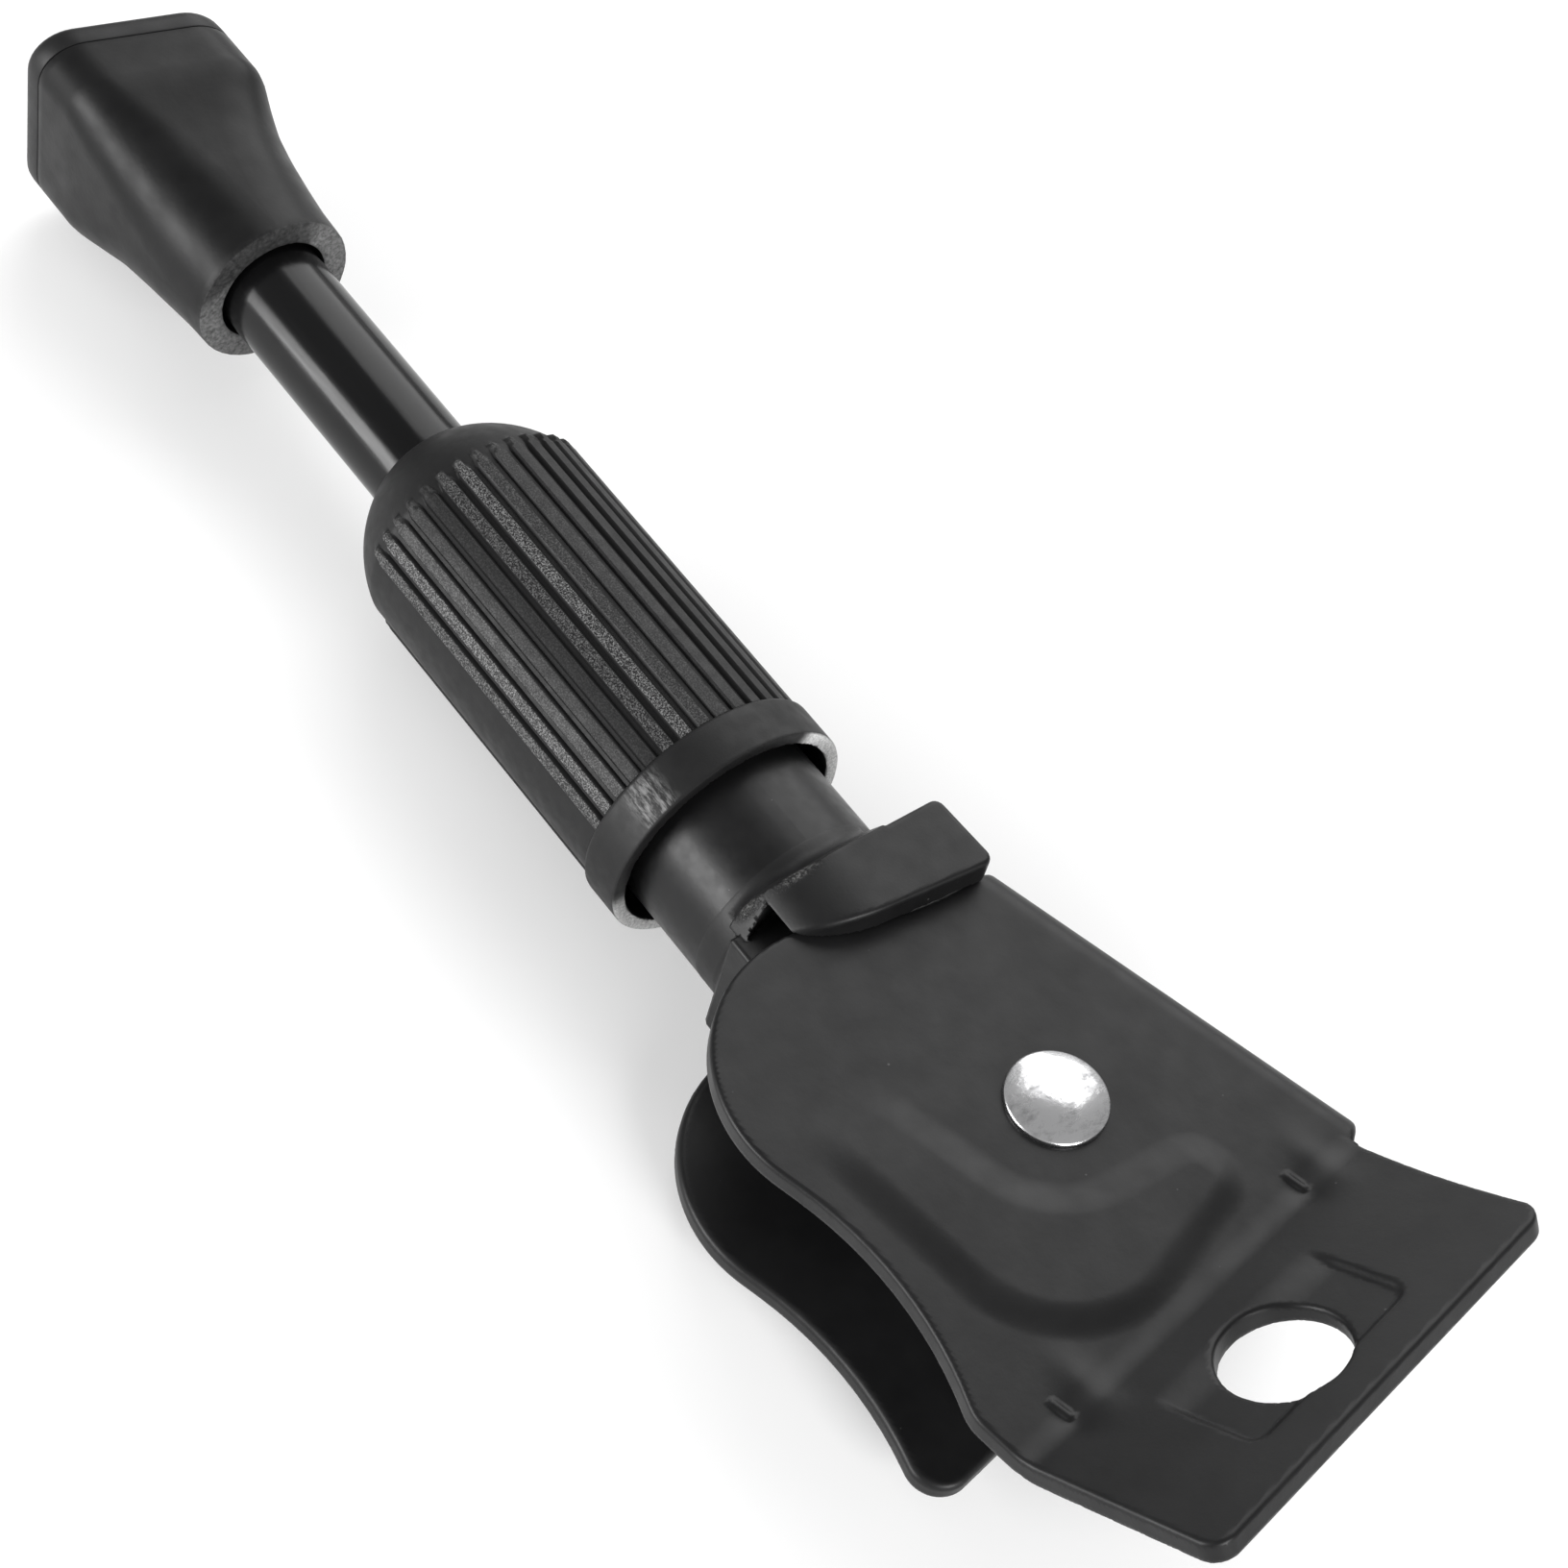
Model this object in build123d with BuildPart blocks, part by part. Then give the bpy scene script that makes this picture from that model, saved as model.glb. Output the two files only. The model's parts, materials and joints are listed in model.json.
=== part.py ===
from build123d import *
import math
import os

os.makedirs("parts", exist_ok=True)

# A folding bar with a screw jack: a pressed bracket with a bent tongue, a leg that folds on one rivet,
# and a rod with a square foot that a ribbed grip winds out of the leg.
# The leg lies along +X, the bracket's front cheek faces +Z, and Z = 0 is the surface it lies on.
# Places along the leg are distances from the rivet. The origin is below the middle of the whole bar.

# ---- where the rivet and the leg's axis are
RIVET_X = -59.48
RIVET_Y = -1.39
MID_Z = 13.9
LEG_OFFSET = 2.5
LEG_Y = RIVET_Y + LEG_OFFSET
BRACKET_TURN = 17.3

# ---- clearances, and a length that reaches past every piece for cuts right through
RUNNING_GAP = 0.05
SIDE_GAP = 0.3
FIT_GAP = 0.1
BEYOND = 60.0

# ---- bracket
SHEET = 2.5
CHEEK_WIDTH = 21.4
HALF_WIDTH = CHEEK_WIDTH / 2
HALF_INSIDE = HALF_WIDTH - SHEET
FRONT_Z = MID_Z + HALF_WIDTH
REAR_Z = MID_Z - HALF_WIDTH
WEB_FACE = 19.0
BEND_OUTSIDE = 3.6
WEB_TOP = -19.0
WEB_END = 22.4
LOBE_CENTER = (-14.9, -7.8)
LOBE_RADIUS = 15.7
LOBE_START = 150.5
LOBE_SIZE = 270 - LOBE_START
WAIST_RADIUS = 40.0
WAIST_TURN = 36.0
BEND_START = 21.9
BEND_SKEW = 8.0
BEND_ANGLE = 34.0
BEND_RADIUS = 5.0
FLAT_OVERLAP = 3.0
FLAT_END = 2.6
TONGUE_LENGTH = 21.2
TONGUE_WEB_SIDE = 15.7
TONGUE_OPEN_SIDE = -33.0
TONGUE_CORNER = 2.4
HOLE_RADIUS = 6.1
HOLE_ALONG = 11.1
HOLE_ACROSS = -10.7
RECESS_DEPTH = 0.5
RECESS_START = 4.2
RECESS_END = 16.3
RECESS_WIDTH = 22.0
RECESS_ACROSS = -10.2
BEAD_WIDTH = 7.4
BEAD_HEIGHT = 0.9
BEAD_TURN = 7.0
BEAD_PATH = ((-13.5, -13.6), (5.0, -15.6), (13.0, -14.0), (14.6, 3.0))
DART_PLACES = (7.7, -26.6)
DART_WIDTH = 3.4
DART_LEG = 4.6
REAR_SETBACK = 5.0
REAR_CORNER = 3.4
REAR_WAIST_TURN = 31.0
LOBE_TOP = (-22.4, 8.2)
WAIST_SHIFT = 1.9
REAR_RUN = 30.0
RECESS_CORNER = 2.0
DART_DEPTH = 1.0
BEAD_ROUND_SHARE = 0.8

# ---- rivet, its bush and washers
SHANK_RADIUS = 3.0
HEAD_RADIUS = 5.1
HEAD_RIM = 0.6
HEAD_HEIGHT = 1.9
TAIL_RADIUS = 4.4
TAIL_HEIGHT = 0.8
TAIL_SLOPE = 0.4
BACK_WASHER_RADIUS = 5.6
BACK_WASHER = 0.4
BUSH_RADIUS = 5.0
BEARING_RADIUS = 6.4
FRICTION_WASHER = 0.5
FRICTION_RADIUS = 9.0

# ---- pivot cap on the tube's end
CORE_HALF = 7.6
CORE_TOP = 31.3
CORE_BACK = -11.0
CORE_WEB_SIDE = -12.1
CORE_OPEN_SIDE = 11.5
CORE_CORNER = 9.0
LIP_WEB_SIDE = -12.4
LIP_OPEN_SIDE = 10.3
LIP_BOTTOM = 23.7
LIP_FRONT = 14.0
LIP_REAR = 12.0
SWING_RADIUS = 33.0
RING_TOP = 34.6
LIP_ROOT_HALF = 6.0
LIP_CORNER = 0.7
LIP_BEND_Y = -0.5
LIP_CURVE_MIDDLE = (24.9, 4.5)
LIP_CURVE_END = (27.5, 10.9)
RING_INSIDE = 8.5
PLUG_END = 52.0
PLUG_BORE_START = 36.4
PLUG_BORE = 6.6
DOWEL_RADIUS = 1.5
DOWEL_X = 48.2

# ---- outer tube and what it carries
TUBE_RADIUS = 11.0
TUBE_INSIDE = 9.4
TUBE_TOP = 82.4
RING_GROOVE_X = 66.0
RING_GROOVE_WIDTH = 1.3
RING_GROOVE_RADIUS = 10.3
RING_SIDE_GAP = 0.1
RING_RADIUS = 11.8
RING_SPLIT = 2.0
TUBE_CHAMFER = 0.5
GUIDE_START = 68.0
GUIDE_END = 81.0
KEY_X = 76.0
KEY_RADIUS = 1.4
KEY_REACH = 4.6
THRUST_WASHER = 1.4
THRUST_HOLE = 6.4

# ---- ribbed grip and its drive nut
GRIP_START = 44.8
BAND_TOP = 50.0
BAND_RADIUS = 13.9
RIB_TOP_RADIUS = 13.6
BARREL_RADIUS = 13.1
RIB_END = 88.8
DOME_MIDDLE = (95.1, 10.2)
DOME_END = 98.4
DOME_HOLE = 6.3
SKIRT_INSIDE = 12.4
SKIRT_DEPTH = 8.0
SKIRT_SLOPE = 1.3
LAND_INSIDE = 11.06
RING_SEAT = 12.0
BAND_CHAMFER = 0.3
DOME_LIP = 0.6
RIB_SINK = 0.6
NUT_START = 84.0
NUT_END = 92.0
NUT_RADIUS = 9.6
RIB_COUNT = 14
RIB_PITCH = 9.3
RIB_SIDES = (-12.0, 168.0)
RIB_FLAT = 1.25
RIB_FOOT = 1.75
WIPER_START = 94.0
WIPER_END = 95.5
WIPER_RADIUS = 7.2
NUT_KEY_WIDTH = 3.0
NUT_KEY_INNER = 8.2
NUT_KEY_OUTER = 11.0

# ---- rod
ROD_RADIUS = 6.0
THREAD_RADIUS = 5.6
THREAD_START = 38.0
THREAD_END = 92.4
KEYWAY_START = 41.5
KEYWAY_END = 80.0
KEYWAY_WIDTH = 3.0
SPIGOT_RADIUS = 4.0
SPIGOT_START = 147.0
ROD_END = 152.5

# ---- foot: each section is its distance from the rivet, half sizes along Z and Y, corner and lean
FOOT_SECTIONS = (
    (128.1, 9.35, 9.35, 9.3, 0.0),
    (136.0, 9.7, 9.7, 9.0, 0.0),
    (142.0, 10.2, 9.9, 8.0, 3.0),
    (147.0, 11.2, 10.4, 6.5, 7.0),
    (151.5, 11.9, 10.8, 5.4, 11.5),
    (154.0, 12.0, 10.9, 5.2, 13.5),
)
FOOT_SHIFT = -0.7
COLLAR_BORE = 6.5
SEAM_X = 158.1
PAD_X = 161.1
PAD_ROUND = 0.5
CORE_START = 141.0
CORE_RADIUS = 8.4
SCREW_POCKET = 7.0
FOOT_WASHER = 1.0
FOOT_WASHER_RADIUS = 6.6
FOOT_SCREW_RADIUS = 2.0
FOOT_SCREW_DEPTH = 10.0
FOOT_SCREW_HEAD = 3.6
FOOT_SCREW_HEAD_HEIGHT = 2.2
FOOT_SCREW_SOCKET = 1.6
FOOT_SOCKET_DEPTH = 1.4
FOOT_SCREW_END_GAP = 0.5

LEG_AXIS = Axis((RIVET_X, LEG_Y, MID_Z), (1, 0, 0))


def level(height):
    """Plane parallel to the front cheek through the rivet, X along the leg."""
    return Plane(origin=(RIVET_X, RIVET_Y, height), x_dir=(1, 0, 0), z_dir=(0, 0, 1))


def leg_level(height):
    """Like level(), with its origin moved across to the leg's axis."""
    return Plane(origin=(RIVET_X, LEG_Y, height), x_dir=(1, 0, 0), z_dir=(0, 0, 1))


def leg_side():
    """Upright plane through the leg's axis: X is the distance from the rivet, Y the radius."""
    return Plane(origin=(RIVET_X, LEG_Y, MID_Z), x_dir=(1, 0, 0), z_dir=(0, -1, 0))


def leg_section(place, shift=0.0, tilt=0.0):
    """Plane across the leg at a distance from the rivet, leaned towards the web side by tilt."""
    lean = math.radians(tilt)
    normal = (math.cos(lean), -math.sin(lean), 0)
    return Plane(origin=(RIVET_X + place, LEG_Y + shift, MID_Z), x_dir=(0, 0, 1), z_dir=normal)


def bracket_level(height, turn=0.0):
    """Plane parallel to the cheeks through the rivet, X towards the tongue and Y towards the web."""
    angle = math.radians(180 + BRACKET_TURN - turn)
    direction = (math.cos(angle), math.sin(angle), 0)
    return Plane(origin=(RIVET_X, RIVET_Y, height), x_dir=direction, z_dir=(0, 0, 1))


def on_arc(center, radius, angle):
    """Point of a circle at an angle in degrees."""
    return (
        center[0] + radius * math.cos(math.radians(angle)),
        center[1] + radius * math.sin(math.radians(angle)),
    )


def finish(piece, name):
    """Label a finished piece and write its STEP file."""
    piece.part.label = name
    export_step(piece.part, f"parts/{name}.step")


def revolved(points):
    """Solid turned about the leg's axis from (distance, radius) points."""
    with BuildPart() as turned:
        with BuildSketch(leg_side()):
            with BuildLine():
                Polyline(*points, close=True)
            make_face()
        revolve(axis=LEG_AXIS)
    return turned


def ring(start, end, outside, inside):
    """Plain ring on the leg's axis."""
    return revolved([(start, inside), (end, inside), (end, outside), (start, outside)])


def upright_tube(bottom, top, outside, inside):
    """Plain ring on the rivet's axis."""
    with BuildPart() as tube:
        with BuildSketch(level(bottom)):
            Circle(outside)
            Circle(inside, mode=Mode.SUBTRACT)
        extrude(amount=top - bottom)
    return tube


# ---- bracket: a folded channel with an outline of two lobed cheeks, and a tongue bent off the front one
skew = math.radians(BEND_SKEW)
bend_axis = (math.sin(skew), math.cos(skew))


def on_bend(across, along=0.0):
    """Point beside the bend line in the cheek's plane."""
    return (
        BEND_START + across * bend_axis[0] + along * bend_axis[1],
        across * bend_axis[1] - along * bend_axis[0],
    )


waist_center = (LOBE_CENTER[0] + WAIST_SHIFT, LOBE_CENTER[1] - LOBE_RADIUS - WAIST_RADIUS)
waist_end = on_arc(waist_center, WAIST_RADIUS, 90 - WAIST_TURN)
waist_across = waist_end[1] * bend_axis[1] + (waist_end[0] - BEND_START) * bend_axis[0]
shoulder_turn = WAIST_TURN - BEND_SKEW
shoulder_radius = (waist_across - TONGUE_OPEN_SIDE) / (1 - math.cos(math.radians(shoulder_turn)))
shoulder_center = on_arc(waist_end, shoulder_radius, 90 - WAIST_TURN)
top_corner = (WEB_TOP, WEB_FACE)
lobe_start = on_arc(LOBE_CENTER, LOBE_RADIUS, LOBE_START)
lobe_end = on_arc(LOBE_CENTER, LOBE_RADIUS, 270)
waist_start = on_arc(waist_center, WAIST_RADIUS, 90)


def cheek_edge(turn):
    """Top and open side of a cheek, from the web's corner round the lobe and down the waist."""
    ThreePointArc(top_corner, LOBE_TOP, lobe_start)
    CenterArc(LOBE_CENTER, LOBE_RADIUS, LOBE_START, LOBE_SIZE)
    Line(lobe_end, waist_start)
    CenterArc(waist_center, WAIST_RADIUS, 90, -turn)


with BuildPart() as bracket:
    with BuildSketch(bracket_level(MID_Z)):
        with BuildLine():
            cheek_edge(WAIST_TURN)
            shoulder = CenterArc(shoulder_center, shoulder_radius, 270 - WAIST_TURN, shoulder_turn)
            Polyline(
                shoulder @ 1,
                on_bend(TONGUE_OPEN_SIDE, -FLAT_END),
                on_bend(TONGUE_WEB_SIDE, -FLAT_END),
                (WEB_END, TONGUE_WEB_SIDE),
                (WEB_END, WEB_FACE),
                top_corner,
            )
        make_face()
    extrude(amount=HALF_WIDTH)

    # the rear cheek stops short of the bend, on a line beside it
    rear_waist_end = on_arc(waist_center, WAIST_RADIUS, 90 - REAR_WAIST_TURN)
    rear_run = on_arc(rear_waist_end, REAR_RUN, -REAR_WAIST_TURN)
    rear_step = on_bend(TONGUE_WEB_SIDE, -REAR_SETBACK)
    with BuildSketch(bracket_level(MID_Z)):
        with BuildLine():
            cheek_edge(REAR_WAIST_TURN)
            Polyline(rear_waist_end, rear_run, (rear_run[0], WEB_FACE), top_corner)
        make_face()
        with BuildLine():
            Polyline(
                on_bend(-BEYOND, -REAR_SETBACK),
                rear_step,
                (WEB_END, rear_step[1]),
                (WEB_END, WEB_FACE),
                (BEYOND, WEB_FACE),
                (BEYOND, -BEYOND),
                close=True,
            )
        make_face(mode=Mode.SUBTRACT)
        fillet(vertices().sort_by(Axis.Y)[0], radius=REAR_CORNER)
    extrude(amount=-HALF_WIDTH)

    web_edges = bracket.edges().filter_by(
        lambda edge: abs(bracket_level(0).to_local_coords(edge.center()).Y - WEB_FACE) < 0.01
        and abs(abs(edge.center().Z - MID_Z) - HALF_WIDTH) < 0.01
    )
    fillet(web_edges, radius=BEND_OUTSIDE)

    # the channel's inside, open on the side away from the web
    along = bracket_level(0).x_dir
    mouth = Plane(origin=Vector(RIVET_X, RIVET_Y, MID_Z) - along * BEYOND, x_dir=(0, 0, -1), z_dir=along)
    with BuildSketch(mouth):
        with BuildLine():
            Polyline(
                (-HALF_INSIDE, -BEYOND),
                (HALF_INSIDE, -BEYOND),
                (HALF_INSIDE, WEB_FACE - SHEET),
                (-HALF_INSIDE, WEB_FACE - SHEET),
                close=True,
            )
        make_face()
        fillet(vertices().group_by(Axis.Y)[-1], radius=BEND_OUTSIDE - SHEET)
    extrude(amount=2 * BEYOND, mode=Mode.SUBTRACT)

    # tongue: the front cheek's sheet carried past the bend line and folded away from the rear cheek
    slope = math.radians(BEND_ANGLE)
    bend_x = bracket_level(0, BEND_SKEW).x_dir
    bend_y = bracket_level(0, BEND_SKEW).y_dir
    bend_origin = bracket_level(FRONT_Z).from_local_coords(Vector(*on_bend(TONGUE_OPEN_SIDE)))
    profile_plane = Plane(origin=bend_origin, x_dir=bend_x, z_dir=-bend_y)
    tip = (TONGUE_LENGTH * math.cos(slope), TONGUE_LENGTH * math.sin(slope))
    back_of_bend = (SHEET * math.tan(slope / 2), -SHEET)
    with BuildSketch(profile_plane):
        with BuildLine():
            Polyline(
                (-FLAT_OVERLAP, 0),
                (0, 0),
                tip,
                (tip[0] + SHEET * math.sin(slope), tip[1] - SHEET * math.cos(slope)),
                back_of_bend,
                (-FLAT_OVERLAP, -SHEET),
                close=True,
            )
        make_face()
        fillet(vertices().sort_by_distance((0, 0, 0))[0], radius=BEND_RADIUS)
        fillet(vertices().sort_by_distance((*back_of_bend, 0))[0], radius=BEND_RADIUS + SHEET)
    extrude(amount=-(TONGUE_WEB_SIDE - TONGUE_OPEN_SIDE))

    # the tongue's own face: X runs to its end, Y towards the web, the bend line at X = 0
    tongue_x = bend_x * math.cos(slope) + Vector(0, 0, math.sin(slope))
    tongue_root = bracket_level(FRONT_Z).from_local_coords(Vector(*on_bend(0)))
    tongue = Plane(origin=tongue_root, x_dir=tongue_x, z_dir=tongue_x.cross(bend_y))
    end_corners = bracket.edges().filter_by(
        lambda edge: tongue.to_local_coords(edge.center()).X > TONGUE_LENGTH - 0.2
        and edge.length < SHEET + 0.1
        and abs(edge.tangent_at(0.5).dot(tongue.z_dir)) > 0.9
    )
    fillet(end_corners, radius=TONGUE_CORNER)

    # round hole in a shallow pressed recess
    with BuildSketch(tongue.offset(-RECESS_DEPTH)):
        with Locations(((RECESS_START + RECESS_END) / 2, RECESS_ACROSS)):
            RectangleRounded(RECESS_END - RECESS_START, RECESS_WIDTH, RECESS_CORNER)
    extrude(amount=BEYOND, mode=Mode.SUBTRACT)
    with BuildSketch(tongue.offset(SHEET)):
        with Locations((HOLE_ALONG, HOLE_ACROSS)):
            Circle(HOLE_RADIUS)
    extrude(amount=-3 * SHEET, mode=Mode.SUBTRACT)

    # two darts that stiffen the bend
    for place in DART_PLACES:
        dart_origin = bracket_level(FRONT_Z).from_local_coords(Vector(*on_bend(place - DART_WIDTH / 2)))
        with BuildSketch(Plane(origin=dart_origin, x_dir=bend_x, z_dir=-bend_y)):
            with BuildLine():
                Polyline(
                    (-DART_LEG, -DART_DEPTH),
                    (-DART_LEG, 0),
                    (DART_LEG * math.cos(slope), DART_LEG * math.sin(slope)),
                    (DART_LEG * math.cos(slope) + 0.3, DART_LEG * math.sin(slope) - DART_DEPTH),
                    (DART_DEPTH, -DART_DEPTH),
                    close=True,
                )
            make_face()
        extrude(amount=-DART_WIDTH)

    # raised bead that runs below the rivet and turns up towards the web
    with BuildSketch(bracket_level(FRONT_Z - SHEET / 2)):
        with BuildLine():
            FilletPolyline(*BEAD_PATH, radius=BEAD_TURN)
        trace(line_width=BEAD_WIDTH)
    extrude(amount=BEAD_HEIGHT + SHEET / 2)
    bead_top = bracket.faces().filter_by(
        lambda face: abs(face.center().Z - FRONT_Z - BEAD_HEIGHT) < 0.01 and face.normal_at().Z > 0.99
    )
    fillet(bead_top.edges(), radius=BEAD_HEIGHT * BEAD_ROUND_SHARE)

    with BuildSketch(level(0)):
        Circle(SHANK_RADIUS + RUNNING_GAP)
    extrude(amount=BEYOND, mode=Mode.SUBTRACT)
finish(bracket, "bracket")


# ---- rivet on the pivot, with a domed head in front and a low formed head behind its washer
with BuildPart() as rivet:
    dome_radius = (HEAD_RADIUS**2 + (HEAD_HEIGHT - HEAD_RIM) ** 2) / (2 * (HEAD_HEIGHT - HEAD_RIM))
    side = Plane(origin=(RIVET_X, RIVET_Y, 0), x_dir=(1, 0, 0), z_dir=(0, -1, 0))
    back_z = REAR_Z - BACK_WASHER
    with BuildSketch(side):
        with BuildLine():
            Line((0, FRONT_Z + HEAD_HEIGHT), (0, back_z - TAIL_HEIGHT))
            Line((0, back_z - TAIL_HEIGHT), (TAIL_RADIUS - TAIL_SLOPE, back_z - TAIL_HEIGHT))
            Line((TAIL_RADIUS - TAIL_SLOPE, back_z - TAIL_HEIGHT), (TAIL_RADIUS, back_z))
            Line((TAIL_RADIUS, back_z), (SHANK_RADIUS, back_z))
            Line((SHANK_RADIUS, back_z), (SHANK_RADIUS, FRONT_Z))
            Line((SHANK_RADIUS, FRONT_Z), (HEAD_RADIUS, FRONT_Z))
            Line((HEAD_RADIUS, FRONT_Z), (HEAD_RADIUS, FRONT_Z + HEAD_RIM))
            RadiusArc((HEAD_RADIUS, FRONT_Z + HEAD_RIM), (0, FRONT_Z + HEAD_HEIGHT), -dome_radius)
        make_face()
    revolve(axis=Axis((RIVET_X, RIVET_Y, 0), (0, 0, 1)))
finish(rivet, "rivet")

rivet_back_washer = upright_tube(REAR_Z - BACK_WASHER, REAR_Z, BACK_WASHER_RADIUS, SHANK_RADIUS + RUNNING_GAP)
finish(rivet_back_washer, "rivet_back_washer")

pivot_bush = upright_tube(
    REAR_Z + SHEET, FRONT_Z - SHEET, BUSH_RADIUS, SHANK_RADIUS + RUNNING_GAP
)
finish(pivot_bush, "pivot_bush")

# a friction washer fills the gap on each side of the leg's tongue
washer_inside = BUSH_RADIUS + RUNNING_GAP
washer_front = upright_tube(
    MID_Z + HALF_INSIDE - FRICTION_WASHER, MID_Z + HALF_INSIDE, FRICTION_RADIUS, washer_inside
)
finish(washer_front, "friction_washer_front")
washer_rear = upright_tube(
    MID_Z - HALF_INSIDE, MID_Z - HALF_INSIDE + FRICTION_WASHER, FRICTION_RADIUS, washer_inside
)
finish(washer_rear, "friction_washer_rear")

# ---- pivot cap: a tongue between the cheeks, a plug in the tube, and a lip outside each cheek
with BuildPart() as pivot_cap:
    with BuildSketch(leg_level(MID_Z - CORE_HALF)):
        with BuildLine():
            Polyline(
                (CORE_BACK, CORE_WEB_SIDE),
                (CORE_TOP, CORE_WEB_SIDE),
                (CORE_TOP, CORE_OPEN_SIDE),
                (CORE_BACK, CORE_OPEN_SIDE),
                close=True,
            )
        make_face()
        fillet(vertices().group_by(Axis.X)[0], radius=CORE_CORNER)
    extrude(amount=2 * CORE_HALF)

    # neck between the tongue and the ring below the tube, narrow enough for the cheeks to pass
    with BuildSketch(leg_section(CORE_TOP - 1)):
        Circle(TUBE_RADIUS)
        Rectangle(2 * CORE_HALF, BEYOND, mode=Mode.INTERSECT)
    extrude(amount=SWING_RADIUS - CORE_TOP + 2)
    with BuildSketch(leg_section(SWING_RADIUS)):
        Circle(TUBE_RADIUS)
    extrude(amount=RING_TOP - SWING_RADIUS)
    with BuildSketch(leg_section(RING_TOP)):
        Circle(TUBE_INSIDE)
    extrude(amount=PLUG_END - RING_TOP)

    # lips outside the cheeks; their lower edge follows the cheek's top at this end of the swing
    for side_of_cap, reach in ((1, LIP_FRONT), (-1, LIP_REAR)):
        start = MID_Z + side_of_cap * (HALF_WIDTH + SIDE_GAP)
        thickness = reach - HALF_WIDTH - SIDE_GAP
        with BuildSketch(leg_level(start)):
            with BuildLine():
                lip_bend = (LIP_BOTTOM, LIP_BEND_Y)
                Polyline(
                    lip_bend,
                    (LIP_BOTTOM, LIP_WEB_SIDE + LIP_CORNER),
                    (LIP_BOTTOM + LIP_CORNER, LIP_WEB_SIDE),
                    (CORE_TOP - LIP_CORNER, LIP_WEB_SIDE),
                    (CORE_TOP, LIP_WEB_SIDE + LIP_CORNER),
                    (CORE_TOP, LIP_OPEN_SIDE),
                    LIP_CURVE_END,
                )
                ThreePointArc(LIP_CURVE_END, LIP_CURVE_MIDDLE, lip_bend)
            make_face()
        extrude(amount=side_of_cap * thickness)
        with BuildSketch(leg_side().offset(-LIP_ROOT_HALF)):
            with BuildLine():
                inner = side_of_cap * (HALF_WIDTH + SIDE_GAP)
                outer = side_of_cap * reach
                Polyline(
                    (CORE_TOP - 2, inner),
                    (CORE_TOP - 2, outer),
                    (CORE_TOP, outer),
                    (RING_TOP, side_of_cap * (TUBE_RADIUS + FIT_GAP)),
                    (RING_TOP, side_of_cap * RING_INSIDE),
                    (SWING_RADIUS, side_of_cap * RING_INSIDE),
                    (SWING_RADIUS, inner),
                    close=True,
                )
            make_face()
        extrude(amount=2 * LIP_ROOT_HALF)

    # bore for the bearing on the rivet's bush, bore for the rod's end, and two blind holes for dowels
    with BuildSketch(level(0)):
        Circle(BEARING_RADIUS)
    extrude(amount=BEYOND, mode=Mode.SUBTRACT)
    with BuildSketch(leg_section(PLUG_BORE_START)):
        Circle(PLUG_BORE)
    extrude(amount=PLUG_END - PLUG_BORE_START, mode=Mode.SUBTRACT)
    with BuildSketch(leg_level(MID_Z - TUBE_RADIUS - 1)):
        with Locations((DOWEL_X, 0)):
            Circle(DOWEL_RADIUS)
    extrude(amount=2 * TUBE_RADIUS + 2, mode=Mode.SUBTRACT)
finish(pivot_cap, "pivot_cap")

pivot_bearing = upright_tube(
    MID_Z - CORE_HALF, MID_Z + CORE_HALF, BEARING_RADIUS, BUSH_RADIUS + RUNNING_GAP
)
finish(pivot_bearing, "pivot_bearing")

for label, side_of_tube in (("cap_dowel_front", 1), ("cap_dowel_rear", -1)):
    with BuildPart() as dowel:
        with BuildSketch(leg_level(MID_Z + side_of_tube * (PLUG_BORE + SIDE_GAP))):
            with Locations((DOWEL_X, 0)):
                Circle(DOWEL_RADIUS)
        extrude(amount=side_of_tube * (TUBE_RADIUS - PLUG_BORE - SIDE_GAP - FIT_GAP))
    finish(dowel, label)

# ---- outer tube, with the ring groove that holds the grip
with BuildPart() as outer_tube:
    with BuildSketch(leg_side()):
        with BuildLine():
            Polyline(
                (RING_TOP, TUBE_INSIDE),
                (TUBE_TOP, TUBE_INSIDE),
                (TUBE_TOP, TUBE_RADIUS - TUBE_CHAMFER),
                (TUBE_TOP - TUBE_CHAMFER, TUBE_RADIUS),
                (RING_GROOVE_X + RING_GROOVE_WIDTH, TUBE_RADIUS),
                (RING_GROOVE_X + RING_GROOVE_WIDTH, RING_GROOVE_RADIUS),
                (RING_GROOVE_X, RING_GROOVE_RADIUS),
                (RING_GROOVE_X, TUBE_RADIUS),
                (RING_TOP, TUBE_RADIUS),
                close=True,
            )
        make_face()
    revolve(axis=LEG_AXIS)
    with BuildSketch(leg_level(MID_Z - TUBE_RADIUS - 1)):
        with Locations((DOWEL_X, 0)):
            Circle(DOWEL_RADIUS)
    extrude(amount=2 * TUBE_RADIUS + 2, mode=Mode.SUBTRACT)
    with BuildSketch(leg_level(MID_Z)):
        with Locations((KEY_X, 0)):
            Circle(KEY_RADIUS)
    extrude(amount=TUBE_RADIUS + 1, mode=Mode.SUBTRACT)
finish(outer_tube, "outer_tube")

# wire ring, split on one side so that it springs into its groove
with BuildPart() as retaining_ring:
    with BuildSketch(leg_section(RING_GROOVE_X + RING_SIDE_GAP)):
        Circle(RING_RADIUS)
        Circle(RING_GROOVE_RADIUS + RUNNING_GAP, mode=Mode.SUBTRACT)
        with Locations((0, TUBE_RADIUS)):
            Rectangle(RING_SPLIT, 2 * RING_SPLIT, mode=Mode.SUBTRACT)
    extrude(amount=RING_GROOVE_WIDTH - 2 * RING_SIDE_GAP)
finish(retaining_ring, "retaining_ring")

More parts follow.
